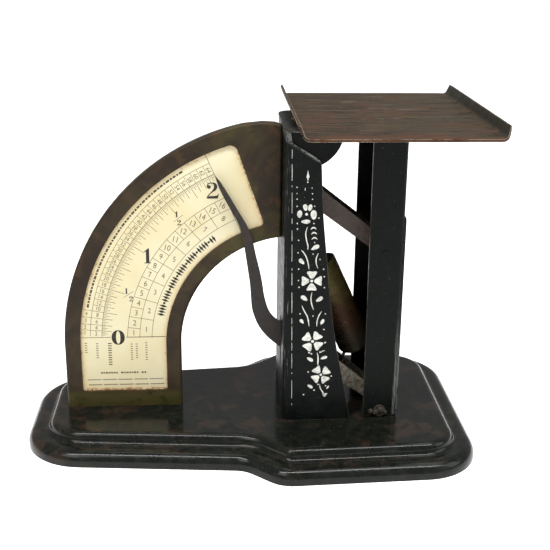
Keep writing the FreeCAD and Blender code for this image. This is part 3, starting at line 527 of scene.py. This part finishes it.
M = {
    "base": japan("base_japan", dark=(14, 17, 14), dark2=(25, 27, 23), brown=(50, 37, 29), worn=0.36, edge=0.9, edge_col=(92, 78, 68), specks=0.6, spec=0.2,
                  rough=0.13, grain=0.16, span=0.09, patches=base_patches),
    "column": japan("column_japan", dark=(9, 12, 11), dark2=(18, 21, 19), worn=0.15, edge=0.9, specks=0.7, spec=0.08,
                    rough=0.34, wear_and_highlight_marks=column_scuffs_and_highlight, seed=3.0,
                    quiet=((22.35, -24.9, 45.5), (22.35, -24.9, 123.7), (21.0, -24.9, 140.6), (27.0, -24.9, 137.6),
                           (22.35, 24.9, 45.5), (22.35, 24.9, 123.7))),
    "painted": japan("painted_pins", dark=(9, 12, 11), dark2=(18, 21, 19), worn=0.1, edge=0.0, specks=0.4, spec=0.08,
                     rough=0.34, seed=3.0),
    # cap plate: lighter enamel with bright edges, partly real wear and partly a painted highlight on its rounded left
    # corner and top
    "worn": japan("worn_japan", dark=(26, 28, 28), dark2=(50, 50, 47), brown=(74, 62, 52), worn=0.7, edge=1.3,
                  edge_r=0.8, edge_col=(166, 160, 148), specks=0.9, spec=0.14, rough=0.36, seed=7.0),
    "head": japan("head_japan", dark=(8, 10, 9), dark2=(15, 18, 16), worn=0.1, edge=0.5, specks=0.3, spec=0.07, seed=9.0),
    "stem": japan("stem_japan", dark=(9, 12, 11), dark2=(17, 20, 17), worn=0.1, edge=0.8, specks=0.6, spec=0.08,
                  rough=0.33, wear_and_highlight_marks=stem_scuffs, seed=5.0, quiet=((62.0, -22.6, 93.5), (62.0, 22.6, 93.5))),
    "dial": dial_metal(),
    "paper": paper(),
    "pan": pan_rust(),
    "pointer": japan("pointer_black", dark=(26, 22, 20), dark2=(46, 38, 33), brown=(74, 56, 44), worn=0.5, edge=0.7,
                     edge_r=0.35, edge_col=(104, 92, 80), specks=0.4, rough=0.4, seed=1.0),
    "upper_link": old_steel("link_brown", (62, 52, 46), (86, 73, 66), rust=0.25, rough=0.5, metal=0.15, seed=2.0),
    # lower link: worn steel whose light colours are partly painted light, lightened to stand in for the lit front
    # flange, with painted glints
    "lower_link": old_steel("link_lower", (128, 120, 104), (196, 186, 166), rust=0.2, rough=0.34, metal=0.2, painted_glint=0.9, seed=4.0),
    "dark_steel": old_steel("dark_steel", (40, 36, 33), (66, 60, 54), rust=0.4, rough=0.45, metal=0.6, seed=6.0),
    "pin": old_steel("pin_steel", (48, 44, 40), (82, 76, 68), rust=0.35, rough=0.4, metal=0.7, seed=8.0),
    "brass": old_steel("brass_screw", (104, 84, 46), (146, 120, 68), rust=0.1, rough=0.36, metal=0.85, seed=3.5,
                       edge_col=(190, 166, 104)),
    "rust": rust_lump(),
    "spring": spring_mat(),
    "silver": silver_paint(),
    "ink": ink(),
    "ink_light": ink("print_ink_light", (82, 76, 62), (124, 115, 92)),
    "ink_mid": ink("print_ink_mid", (56, 52, 44), (96, 89, 72)),
}

NODE_MAT = {
    "base_shell": "base", "column_shell": "column", "column_screws": "dark_steel", "head_bracket": "head",
    "head_rivets": "painted", "cap_plate": "worn", "cap_rivets": "dark_steel", "adjusting_screw": "brass",
    "hook_nut": "dark_steel", "spring_hook_rod": "dark_steel", "spring_lower_hook": "dark_steel",
    "lower_pivot_pin": "painted", "upper_pivot_pin": "painted", "lower_pivot_bushes": "pin", "upper_pivot_bushes": "pin",
    "upper_link": "upper_link", "lower_link": "lower_link", "spring_anchor_pin": "pin", "pointer": "pointer",
    "pointer_rivets": "dark_steel", "stem_channel": "stem", "stem_backing_strip": "stem", "strip_rivets": "stem",
    "stem_upper_pin": "painted", "stem_lower_pin": "rust", "stem_upper_bushes": "pin", "stem_lower_bushes": "pin",
    "pan": "pan", "pan_rivets": "dark_steel", "dial_frame": "dial", "dial_card": "paper", "dial_backplate": "dial",
    "dial_clips": "dial", "dial_foot_rivets": "dark_steel", "dial_end_rivets": "dark_steel",
}
for name, key in NODE_MAT.items():
    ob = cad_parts[name]
    if not ob.material_slots:
        ob.data.materials.append(M[key])
    for s in ob.material_slots:
        s.link = "OBJECT"
        s.material = M[key]


# ------------------------------------------------------------- mesh helpers
class Build:
    """Collects closed shells in millimetres and makes one object of them."""

    def __init__(self):
        self.v, self.f = [], []

    def shell(self, verts, faces):
        o = len(self.v)
        self.v.extend(verts)
        self.f.extend([tuple(i + o for i in f) for f in faces])

    def plate(self, loop, y0, y1):
        """A flat plate from an outline in X and Z; y0 is the front."""
        area = sum(a[0] * b[1] - b[0] * a[1] for a, b in zip(loop, loop[1:] + loop[:1]))
        if area < 0:
            loop = loop[::-1]
        n = len(loop)
        v = [(x, y0, z) for x, z in loop] + [(x, y1, z) for x, z in loop]
        f = [tuple(range(n)), tuple(range(2 * n - 1, n - 1, -1))]
        f += [(i, i + n, (i + 1) % n + n, (i + 1) % n) for i in range(n)]
        self.shell(v, f)

    def ribbon(self, pts, widths, y0, y1):
        """A flat stroke along points in X and Z, with a width at each point."""
        if isinstance(widths, (int, float)):
            widths = [widths] * len(pts)
        L, R = [], []
        for i, (x, z) in enumerate(pts):
            a = pts[max(i - 1, 0)]
            b = pts[min(i + 1, len(pts) - 1)]
            dx, dz = b[0] - a[0], b[1] - a[1]
            k = math.hypot(dx, dz) or 1.0
            nx, nz = -dz / k, dx / k
            w = widths[i] / 2
            L.append((x + nx * w, z + nz * w))
            R.append((x - nx * w, z - nz * w))
        n = len(pts)
        v = [(x, y0, z) for x, z in R] + [(x, y0, z) for x, z in L] + \
            [(x, y1, z) for x, z in R] + [(x, y1, z) for x, z in L]
        f = []
        for i in range(n - 1):
            f.append((i, i + 1, n + i + 1, n + i))
            f.append((2 * n + i, 3 * n + i, 3 * n + i + 1, 2 * n + i + 1))
            f.append((i, 2 * n + i, 2 * n + i + 1, i + 1))
            f.append((n + i, n + i + 1, 3 * n + i + 1, 3 * n + i))
        f.append((0, n, 3 * n, 2 * n))
        f.append((n - 1, 3 * n - 1, 4 * n - 1, 2 * n - 1))
        self.shell(v, f)

    def disc(self, x, z, r, y0, y1, n=14, sx=1.0, turn=0.0):
        c, s = math.cos(turn), math.sin(turn)
        loop = []
        for i in range(n):
            a = 2 * math.pi * i / n
            u, w = r * sx * math.cos(a), r * math.sin(a)
            loop.append((x + u * c - w * s, z + u * s + w * c))
        self.plate(loop, y0, y1)

    def tube(self, path, radii, n=8):
        """A closed round tube along a path of 3-D points."""
        p = [Vector(q) for q in path]
        if isinstance(radii, (int, float)):
            radii = [radii] * len(p)
        t0 = (p[1] - p[0]).normalized()
        u = t0.orthogonal().normalized()
        rings = []
        prev = t0
        v, f = [], []
        for i, q in enumerate(p):
            t = (p[min(i + 1, len(p) - 1)] - p[max(i - 1, 0)]).normalized()
            ax = prev.cross(t)
            if ax.length > 1e-9:
                u = Matrix.Rotation(prev.angle(t), 3, ax.normalized()) @ u
            u = (u - t * u.dot(t)).normalized()
            w = t.cross(u)
            prev = t
            o = len(v)
            for k in range(n):
                a = 2 * math.pi * k / n
                v.append(tuple(q + (u * math.cos(a) + w * math.sin(a)) * radii[i]))
            rings.append(o)
        for a, b in zip(rings[:-1], rings[1:]):
            for k in range(n):
                f.append((a + k, a + (k + 1) % n, b + (k + 1) % n, b + k))
        f.append(tuple(rings[0] + k for k in range(n - 1, -1, -1)))
        f.append(tuple(rings[-1] + k for k in range(n)))
        self.shell(v, f)

    def text(self, string, x, z, height, y0, y1, turn=0.0, squeeze=1.0, bold=0.0):
        """Digits as closed meshes, centred on (x, z), facing the front."""
        c = bpy.data.curves.new("t", "FONT")
        c.body = string
        c.size = 1.0
        c.align_x, c.align_y = "CENTER", "CENTER"
        c.resolution_u = 3
        c.extrude = 0.5
        c.offset = bold
        o = bpy.data.objects.new("t", c)
        scene.collection.objects.link(o)
        me = bpy.data.meshes.new_from_object(o.evaluated_get(bpy.context.evaluated_depsgraph_get()))
        bpy.data.objects.remove(o)
        bpy.data.curves.remove(c)
        bm = bmesh.new()
        bm.from_mesh(me)
        bpy.data.meshes.remove(me)
        bmesh.ops.remove_doubles(bm, verts=bm.verts, dist=1e-5)
        xs = [q.co.x for q in bm.verts]
        ys = [q.co.y for q in bm.verts]
        mx, my, h = (min(xs) + max(xs)) / 2, (min(ys) + max(ys)) / 2, max(ys) - min(ys)
        k = height / h
        ca, sa = math.cos(turn), math.sin(turn)
        bm.verts.index_update()
        v = []
        for q in bm.verts:
            u, w = (q.co.x - mx) * k * squeeze, (q.co.y - my) * k
            y = y0 if q.co.z > 0 else y1
            v.append((x + u * ca - w * sa, y, z + u * sa + w * ca))
        f = [tuple(i.index for i in q.verts) for q in bm.faces]
        bm.free()
        self.shell(v, f)

    def make(self, name, mat, body, smooth=False):
        me = bpy.data.meshes.new(name)
        me.from_pydata([tuple(c * MM for c in v) for v in self.v], [], self.f)
        bm = bmesh.new()
        bm.from_mesh(me)
        bmesh.ops.recalc_face_normals(bm, faces=bm.faces)
        bm.to_mesh(me)
        bm.free()
        if smooth:
            for q in me.polygons:
                q.use_smooth = True
        me.materials.append(mat)
        ob = bpy.data.objects.new(name, me)
        scene.collection.objects.link(ob)
        if body:
            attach(ob, body)
        return ob


def polar(r, deg):
    a = math.radians(deg)
    return (DX + r * math.cos(a), DZ + r * math.sin(a))


def arc(r, a0, a1, n=None):
    n = n or max(2, int(abs(a1 - a0) / 1.5) + 1)
    return [polar(r, a0 + (a1 - a0) * i / (n - 1)) for i in range(n)]


def spline(pts, per=8):
    """Catmull-Rom through points of any length."""
    out = []
    n = len(pts)
    for i in range(n - 1):
        p0, p1, p2, p3 = (np.array(pts[max(i - 1, 0)], float), np.array(pts[i], float),
                          np.array(pts[i + 1], float), np.array(pts[min(i + 2, n - 1)], float))
        for j in range(per):
            t = j / per
            out.append(tuple(0.5 * (2 * p1 + (p2 - p0) * t + (2 * p0 - 5 * p1 + 4 * p2 - p3) * t * t +
                                    (3 * p1 - p0 - 3 * p2 + p3) * t ** 3)))
    out.append(tuple(float(c) for c in pts[-1]))
    return out


# --------------------------------------------------------------- dial print
# angle of each ounce line from 0 to 16 (two ounces a step), degrees
STEPS = [177.23, 173.68, 169.54, 165.84, 162.01, 157.92, 154.21, 150.53, 146.64, 142.67, 138.57, 134.42,
         130.23, 126.0, 121.84, 117.92, 113.97]


def ang(v):
    """Angle for v, in sixteenths of the scale's range."""
    i = min(int(v), 15)
    return STEPS[i] + (STEPS[i + 1] - STEPS[i]) * (v - i)


P0, P1 = CARD_Y - 0.035, CARD_Y + 0.02
A0, A2 = STEPS[0], STEPS[-1]
LINE = 0.22
lines = Build()
LEFT = DX - 101.8
for r in (68.0, 73.8, 79.6):
    lines.ribbon(arc(r, A0, A2), LINE, P0, P1)
for r in (91.8, 97.3):
    lines.ribbon(arc(r, A0, A2), LINE, P0, P1)
# zero line, left and right of the big nought
z0 = 47.85
lines.ribbon([(LEFT, z0), (-66.4, z0)], LINE * 1.2, P0, P1)
lines.ribbon([(-59.0, z0), (DX - 61.2, z0)], LINE * 1.6, P0, P1)
# end line
lines.ribbon([polar(61.3, A2), polar(101.8, A2)], LINE * 1.2, P0, P1)
for i in range(1, 16):
    a = ang(i)
    lines.ribbon([polar(73.8, a), polar(79.6, a)], LINE, P0, P1)
for i in range(1, 8):
    a = ang(2 * i)
    lines.ribbon([polar(68.0, a), polar(73.8, a)], LINE, P0, P1)
for i in range(1, 32):
    a = ang(i / 2)
    lines.ribbon([polar(91.8, a), polar(97.3, a)], LINE * 0.9, P0, P1)
    long = 7.6 if i % 8 == 0 else 6.4 if i % 4 == 0 else 4.6
    lines.ribbon([polar(91.8 - long, a), polar(91.8, a)], LINE, P0, P1)
for i in range(32):
    for q, d in ((0.25, 1.6), (0.5, 2.8), (0.75, 1.6)):
        a = ang((i + q) / 2)
        lines.ribbon([polar(91.8 - d, a), polar(91.8, a)], LINE * 0.8, P0, P1)
for i in range(1, 5):
    a = ang(i / 2 * 1.0)
    lines.ribbon([polar(97.3, a), polar(101.8, a)], LINE * 0.9, P0, P1)
lines.make("dial_lines", M["ink_light"], "root")

small = Build()
for i in range(16):
    a = ang(i + 0.5)
    x, z = polar(76.7, a)
    small.text(str(i + 1), x, z, 2.75, P0, P1, math.radians((a - 180) * 0.35), 0.86, 0.0)
for i in range(8):
    a = ang(2 * i + 1)
    x, z = polar(70.9, a)
    small.text(str(i + 1), x, z, 2.6, P0, P1, math.radians((a - 180) * 0.35), 0.86, 0.0)
for i in range(32):
    a = ang((i + 0.5) / 2)
    x, z = polar(94.55, a)
    small.text(str(2 * i + 2), x, z, 2.0, P0, P1, math.radians(a - 180), 0.9, 0.0)
for i in range(4):
    a = ang((i + 0.5) / 2)
    x, z = polar(99.8, a)
    small.text(str(i + 1), x, z, 1.9, P0, P1, math.radians(a - 180), 0.9, 0.0)
small.make("dial_small_numbers", M["ink_light"], "root")

big = Build()


def glyph(kind, x, z, h, y0=P0 - 0.006, y1=P1):
    """Heavy old-style numerals drawn from strokes; x, z is the middle."""
    def at(u, w):
        return (x + (u - 0.5) * h, z + (w - 0.5) * h)
    if kind == "0":
        n = 44
        o = []
        q = []
        for i in range(n):
            a = 2 * math.pi * i / n
            ca, sa = math.cos(a), math.sin(a)
            o.append(at(0.5 + 0.415 * math.copysign(abs(ca) ** 0.94, ca), 0.5 + 0.5 * math.copysign(abs(sa) ** 0.94, sa)))
            q.append(at(0.5 + 0.135 * ca, 0.5 + 0.435 * math.copysign(abs(sa) ** 0.8, sa)))
        v = [(a, y0, b) for a, b in o] + [(a, y0, b) for a, b in q] + [(a, y1, b) for a, b in o] + [(a, y1, b) for a, b in q]
        f = []
        for i in range(n):
            j = (i + 1) % n
            f.append((i, j, n + j, n + i))
            f.append((2 * n + i, 3 * n + i, 3 * n + j, 2 * n + j))
            f.append((i, 2 * n + i, 2 * n + j, j))
            f.append((n + i, n + j, 3 * n + j, 3 * n + i))
        big.shell(v, f)
    elif kind == "1":
        big.plate([at(*p) for p in [(0.30, 0.0), (0.72, 0.0), (0.72, 0.045), (0.62, 0.06), (0.62, 1.0), (0.55, 1.0),
                                    (0.30, 0.80), (0.30, 0.76), (0.41, 0.80), (0.41, 0.06), (0.30, 0.045)]], y0, y1)
    elif kind == "2":
        s = spline([(0.20, 0.66, 0.05), (0.165, 0.80, 0.05), (0.26, 0.93, 0.07), (0.44, 0.975, 0.055),
                    (0.62, 0.90, 0.15), (0.68, 0.74, 0.215), (0.62, 0.58, 0.17), (0.47, 0.43, 0.085),
                    (0.30, 0.27, 0.06), (0.17, 0.10, 0.065)], 6)
        big.ribbon([at(a, b) for a, b, c in s], [c * h for a, b, c in s], y0, y1)
        cx, cz = at(0.275, 0.725)
        big.disc(cx, cz, 0.115 * h, y0 - 0.001, y1, 18)
        big.plate([at(*p) for p in [(0.12, 0.0), (0.80, 0.0), (0.88, 0.29), (0.835, 0.29), (0.77, 0.20), (0.60, 0.155),
                                    (0.36, 0.165), (0.22, 0.13), (0.13, 0.06)]], y0 - 0.002, y1)


glyph("0", -62.85, 47.75, 7.5)
glyph("2", -16.9, 120.1, 7.6)
glyph("1", -47.7, 88.8, 7.3)
for (ux, uz), (dx_, dz_), (sa, sb) in (((-58.1, 71.5), (-55.9, 67.5), ((-59.6, 68.1), (-54.8, 71.3))),
                                       ((-33.7, 108.9), (-32.5, 104.9), ((-35.1, 105.3), (-30.7, 108.6)))):
    glyph("1", ux, uz, 2.9)
    glyph("2", dx_, dz_, 2.6)
    big.ribbon([sa, sb], 0.16, P0, P1)
big.make("dial_large_numbers", M["ink"], "root")

# ornament where a printed card of this sort has words: lozenges, beads and rules only
orn = Build()


def lozenge(x, z, a, b, turn, y0=P0, y1=P1):
    c, s = math.cos(turn), math.sin(turn)
    orn.plate([(x + u * c - w * s, z + u * s + w * c) for u, w in ((a, 0), (0, b), (-a, 0), (0, -b))], y0, y1)


a = 166.4
k = 0
while a > 125.4:
    x, z = polar(65.1, a)
    if k % 5 != 4:
        lozenge(x, z, 2.0, 0.66, math.radians(a - 180), P0, P1)
        a -= 1.32
    else:
        orn.disc(x, z, 0.60, P0, P1, 14)
        a -= 1.32
    k += 1
orn.make("dial_border_lozenges", M["ink"], "root")
orn = Build()
a = 168.8
k = 0
while a > 122.2:
    w = (1.05, 0.62, 0.85, 0.5)[k % 4]
    orn.ribbon(arc(99.6, a, a - w, 3), 0.95, P0, P1)
    a -= w + 0.30
    k += 1
for (x, z, ln, wd) in ((-78.3, 42.6, 6.0, 0.55), (-73.0, 41.0, 8.6, 0.55), (-67.0, 39.2, 12.2, 0.85),
                       (-56.6, 40.2, 9.2, 0.5), (-54.2, 40.6, 8.4, 0.5), (-49.6, 40.4, 10.0, 0.5)):
    n = max(3, int(ln / 1.15))
    for i in range(n):
        zz = z + ln / 2 - (i + 0.5) * ln / n
        orn.ribbon([(x - wd * 1.0, zz), (x + wd * 1.0, zz)], 0.36 if wd < 0.8 else 0.5, P0, P1)
for (xa, xb, z, h, gap) in ((-71.8, -49.6, 29.3, 0.85, 1.25), (-78.2, -41.6, 25.7, 0.55, 0.95), (-77.8, -40.6, 23.0, 0.62, 0.95)):
    x = xa
    i = 0
    while x < xb:
        w = gap * (0.62, 0.5, 0.78, 0.56, 0.7)[i % 5]
        orn.ribbon([(x, z), (min(x + w, xb), z)], h, P0, P1)
        x += w + gap * 0.36 + (0.9 * gap if i % 7 == 6 else 0)
        i += 1
orn.make("dial_border_dashes", M["ink_mid"], "root")


# ------------------------------------------------------------------ stencil
rng = random.Random(11)


def blob(b, x, z, a, w, turn, y0, y1, pinch=0.0, n=20):
    """A soft leaf or petal: length a, width w."""
    c, s = math.cos(turn), math.sin(turn)
    loop = []
    for i in range(n):
        t = 2 * math.pi * i / n
        u = a / 2 * math.cos(t)
        k = w / 2 * math.sin(t) * (1.0 + pinch * math.cos(t)) * (1 + 0.05 * math.sin(3 * t + x))
        loop.append((x + u * c - k * s, z + u * s + k * c))
    b.plate(loop, y0, y1)


def petals(b, x, z, size, turn, y0, y1):
    """Four broad petals round an eye."""
    for i in range(4):
        a = turn + i * math.pi / 2
        r = size * 0.30
        px, pz = x + r * math.cos(a), z + r * math.sin(a)
        c, s = math.cos(a), math.sin(a)
        loop = []
        hw = size * 0.25
        hl = size * 0.175
        shape = [(-1.0, -0.22), (-0.94, -0.46), (-0.1, -0.86), (0.72, -1.0), (0.98, -0.72), (0.90, -0.10), (1.0, 0.42),
                 (0.86, 0.92), (0.30, 0.98), (-0.62, 0.62), (-0.99, 0.30)]
        for u, w in spline(shape + shape[:1], 3)[:-1]:
            u2, w2 = u * hl, w * hw * (0.82 + 0.18 * u)
            loop.append((px + u2 * c - w2 * s, pz + u2 * s + w2 * c))
        b.plate(loop, y0, y1)
    b.disc(x, z, size * 0.068, y0, y1, 12)


def stencil(b, y0, y1):
    # border: a thin broken line near the dial side
    z = 143.6
    dash = [4.0, 7.5, 0.7, 9.5, 2.5, 5.0, 8.0, 1.2, 6.0, 10.0, 3.0, 7.0]
    i = 0
    while z > 20.5:
        d = dash[i % len(dash)]
        x = 17.75 + (143.7 - z) / (143.7 - 19.4) * 1.7
        e = max(z - d, 20.0)
        xe = 17.75 + (143.7 - e) / (143.7 - 19.4) * 1.7
        w = 0.19 + 0.08 * rng.random()
        b.ribbon([(x, z), ((x + xe) / 2 + 0.06, (z + e) / 2), (xe, e)], [w * 0.6, w, w * 0.7], y0, y1)
        z = e - (1.0 + 2.6 * rng.random())
        i += 1
    # bud at the top
    b.plate([(24.9, 134.4), (25.35, 132.4), (25.7, 131.0), (25.25, 130.9), (25.15, 129.7), (24.75, 129.7), (24.7, 130.8),
             (24.25, 130.9), (24.55, 132.2)], y0, y1)
    b.disc(24.9, 128.9, 0.32, y0, y1, 8)
    # vine below it and two rows of beads
    b.ribbon(*zip_w(spline([(23.9, 126.4, 0.25), (23.7, 124.2, 0.42), (23.5, 121.9, 0.22)], 5)), y0, y1)
    for x, z in ((20.2, 126.6), (20.3, 123.8), (20.3, 121.2), (20.4, 117.9), (26.9, 126.2), (27.1, 123.6), (27.2, 121.1),
                 (28.2, 117.9), (20.6, 110.0), (20.7, 107.4), (21.3, 102.1), (28.6, 101.0), (30.2, 112.4)):
        b.disc(x, z, 0.30, y0, y1, 8)
    # first flower: two small petals above, one each side, one below
    fx, fz = 24.9, 114.0
    for x, z, a_, w_, t in ((24.1, 117.3, 3.1, 2.0, 1.75), (26.2, 117.2, 3.1, 1.9, 1.35), (21.6, 114.3, 3.5, 2.2, 1.5),
                            (27.9, 113.9, 4.4, 2.7, 1.62), (24.4, 110.8, 4.1, 1.9, 0.0)):
        blob(b, x, z, a_, w_, t, y0, y1, 0.15)
    b.disc(24.7, 114.2, 0.62, y0, y1, 10)
    # crescents down the right
    for i, z in enumerate((107.6, 105.3, 102.9)):
        x = 28.0 + 0.25 * i
        b.ribbon(*zip_w(spline([(x - 1.3, z - 0.55, 0.12), (x - 0.5, z + 0.25, 0.62), (x + 0.5, z + 0.25, 0.62),
                                (x + 1.3, z - 0.5, 0.12)], 4)), y0, y1)
    b.disc(28.1, 109.9, 0.32, y0, y1, 8)
    # curving stems between the flowers, with leaves
    b.ribbon(*zip_w(spline([(25.2, 108.3, 0.2), (24.5, 105.4, 0.45), (24.9, 102.2, 0.5), (25.6, 99.4, 0.45), (25.5, 97.6, 0.2)], 6)), y0, y1)
    blob(b, 28.9, 98.6, 4.0, 1.9, 0.5, y0, y1, 0.35)
    b.ribbon(*zip_w(spline([(22.6, 97.4, 0.2), (23.6, 96.4, 0.5), (25.0, 94.0, 0.5), (26.0, 90.4, 0.45), (26.3, 88.2, 0.2)], 6)), y0, y1)
    blob(b, 22.9, 92.0, 3.3, 1.7, 2.3, y0, y1, 0.3)
    b.ribbon(*zip_w(spline([(30.4, 95.9, 0.2), (29.5, 93.4, 0.5), (29.6, 90.8, 0.45), (30.4, 88.6, 0.2)], 6)), y0, y1)
    for x, z in ((21.2, 96.2), (31.2, 92.9), (21.6, 88.4), (33.0, 88.2), (28.0, 95.5)):
        b.disc(x, z, 0.32, y0, y1, 8)
    # second flower
    petals(b, 27.7, 82.6, 9.8, 0.0, y0, y1)
    for x, z in ((21.6, 82.9), (21.9, 79.6), (33.6, 79.3), (33.4, 84.6)):
        b.disc(x, z, 0.34, y0, y1, 8)
    b.ribbon(*zip_w(spline([(27.9, 76.9, 0.2), (27.5, 74.2, 0.45), (27.9, 71.2, 0.5), (28.8, 68.6, 0.3)], 6)), y0, y1)
    blob(b, 24.4, 74.2, 3.6, 1.9, 2.5, y0, y1, 0.3)
    blob(b, 31.4, 73.6, 3.6, 1.8, 0.6, y0, y1, 0.3)
    b.ribbon(*zip_w(spline([(23.4, 70.6, 0.2), (24.4, 68.2, 0.5), (25.9, 65.4, 0.5), (26.6, 62.6, 0.45), (26.9, 60.4, 0.2)], 6)), y0, y1)
    b.ribbon(*zip_w(spline([(32.6, 67.6, 0.2), (31.4, 65.6, 0.5), (30.6, 62.8, 0.45), (30.5, 60.2, 0.2)], 6)), y0, y1)
    blob(b, 33.0, 62.4, 2.9, 1.5, 1.1, y0, y1, 0.3)
    blob(b, 23.5, 62.8, 2.6, 1.4, 2.2, y0, y1, 0.3)
    for x, z in ((22.6, 66.6), (34.4, 66.4), (28.6, 65.4), (33.9, 58.6)):
        b.disc(x, z, 0.34, y0, y1, 8)
    # third flower
    petals(b, 28.7, 52.7, 10.2, math.radians(52), y0, y1)
    for x, z in ((34.6, 52.0), (27.2, 47.0), (28.3, 46.4), (32.4, 47.2)):
        b.disc(x, z, 0.42, y0, y1, 9)
    b.ribbon(*zip_w(spline([(31.0, 46.9, 0.2), (31.45, 44.9, 0.55), (31.5, 42.6, 0.6), (31.5, 40.4, 0.25)], 5)), y0, y1)
    blob(b, 27.7, 43.6, 3.4, 1.6, -0.55, y0, y1, 0.35)
    blob(b, 34.2, 44.3, 3.3, 1.5, 0.35, y0, y1, 0.35)
    b.ribbon(*zip_w(spline([(32.7, 46.9, 0.15), (33.5, 47.7, 0.4), (34.6, 47.9, 0.15)], 4)), y0, y1)
    # fourth flower
    petals(b, 33.0, 35.6, 9.4, math.radians(38), y0, y1)
    for x, z in ((27.0, 37.2), (38.0, 34.8), (31.8, 30.6), (30.0, 27.6), (35.4, 29.8), (25.0, 25.4)):
        b.disc(x, z, 0.36, y0, y1, 9)
    b.ribbon(*zip_w(spline([(32.5, 30.6, 0.2), (33.0, 28.4, 0.5), (34.3, 26.3, 0.6), (35.2, 24.9, 0.4)], 6)), y0, y1)
    b.plate([(33.9, 26.2), (35.1, 25.8), (36.4, 25.9), (35.6, 24.6), (35.0, 23.9), (34.4, 24.6)], y0, y1)
    blob(b, 28.0, 29.6, 2.9, 1.5, -0.6, y0, y1, 0.3)
    blob(b, 36.4, 28.9, 2.0, 0.7, 0.95, y0, y1, 0.2)


def zip_w(s):
    return [(a, b) for a, b, c in s], [c for a, b, c in s]


front = Build()
stencil(front, CHEEK_Y - 0.03, CHEEK_Y + 0.05)
front.make("cheek_stencil_front", M["silver"], "root")
rng.seed(12)
back = Build()
stencil(back, -CHEEK_Y + 0.03, -CHEEK_Y - 0.05)
back.make("cheek_stencil_back", M["silver"], "root")


# ------------------------------------------------------------------- spring
def spring():
    T, B = Vector((32.6, 0, 84.6)), Vector((52.6, 0, 41.0))
    ax = (B - T).normalized()
    L = (B - T).length
    wire = 0.51
    R = 8.6 - wire
    e1 = Vector((0, -1, 0))
    e2 = ax.cross(e1).normalized()
    turns = 43.0
    per = 30
    inset = 1.1
    path = []

    def helix(a, s, r):
        return T + ax * s + (e1 * math.cos(a) + e2 * math.sin(a)) * r
    # top loop, in the plane of the axis and Y, through the hook rod's ring
    hole = Vector((32.4, 0, 87.2))
    k = 2.2
    c = hole + ax * k
    for i in range(22):
        t = math.pi * (-0.62) + i / 21 * math.pi * 1.55
        path.append(c + (-ax * math.cos(t) + e1 * -math.sin(t)) * k)
    start = path[-1]
    # lead out to the coil
    n = int(turns * per)
    a0 = math.pi * 0.5
    first = helix(a0, inset, R)
    pts = [start + (first - start) * (j / 6.0) for j in range(1, 6)]
    for j, q in enumerate(pts):
        w = (j + 1) / 6.0
        swing = helix(a0 - (1 - w) * 1.9, inset - 0.2 * (1 - w), 2.4 + (R - 2.4) * w)
        path.append(q.lerp(swing, 0.85))
    for i in range(n + 1):
        t = i / n
        r = R * (1.0 + 0.010 * math.sin(2 * math.pi * t * 3.3))
        s = inset + (L - 2 * inset) * t
        sag = Vector((0, 0, 0))
        path.append(helix(a0 + 2 * math.pi * turns * t, s, min(r, R)) + sag)
    # last turns draw in like a bowl
    for i in range(1, 3 * per + 1):
        t = i / (3 * per)
        path.append(helix(a0 + 2 * math.pi * (turns + 3 * t), L - inset + 3.1 * t, R * (1 - 0.34 * t * t)))
    turns += 3
    # bottom loop through the lower hook's ring
    hole2 = Vector((51.4, 0, 43.4))
    c2 = hole2 - ax * k
    last = path[-1]
    loop = []
    for i in range(22):
        t = math.pi * (-0.9) + i / 21 * math.pi * 1.5
        loop.append(c2 + (ax * math.cos(t) + e1 * math.sin(t)) * k)
    a1 = a0 + 2 * math.pi * turns
    for j in range(1, 6):
        w = j / 6.0
        q = last.lerp(loop[0], w)
        swing = helix(a1 + w * 1.9, L + 2.0 - 2.4 * w, R * 0.66 + (2.4 - R * 0.66) * w)
        path.append(q.lerp(swing, 0.7 * (1 - w)))
    path += loop
    b = Build()
    b.tube([tuple(q) for q in path], wire, 8)
    ob = b.make("counter_spring_coil", M["spring"], None, smooth=True)
    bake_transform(ob)
    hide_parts("counter_spring")


spring()


# ------------------------------------------------------ rust at the stem foot
def lumps():
    from mathutils import noise
    b = Build()
    for x, y, z, r, k in ((57.6, -23.6, 15.2, 1.35, 1), (60.2, -23.8, 14.7, 1.5, 2), (62.6, -23.8, 16.0, 1.7, 3),
                          (64.6, -23.5, 14.6, 1.2, 4), (61.2, -23.4, 17.6, 0.9, 5)):
        bm = bmesh.new()
        bmesh.ops.create_icosphere(bm, subdivisions=3, radius=1.0)
        verts = []
        bm.verts.index_update()
        for q in bm.verts:
            n = noise.noise(q.co * 1.7 + Vector((k * 3.1, 0, 0))) * 0.28 + noise.noise(q.co * 4.3 + Vector((0, k, 0))) * 0.14
            d = q.co * (1 + n) * r
            d.y *= 0.62
            z_ = max(z + d.z * 0.9, 12.95)
            verts.append((x + d.x, min(y + d.y, -22.5), z_))
        b.shell(verts, [tuple(i.index for i in f.verts) for f in bm.faces])
        bm.free()
    b.make("stem_foot_rust", M["rust"], "stem", smooth=True)


lumps()
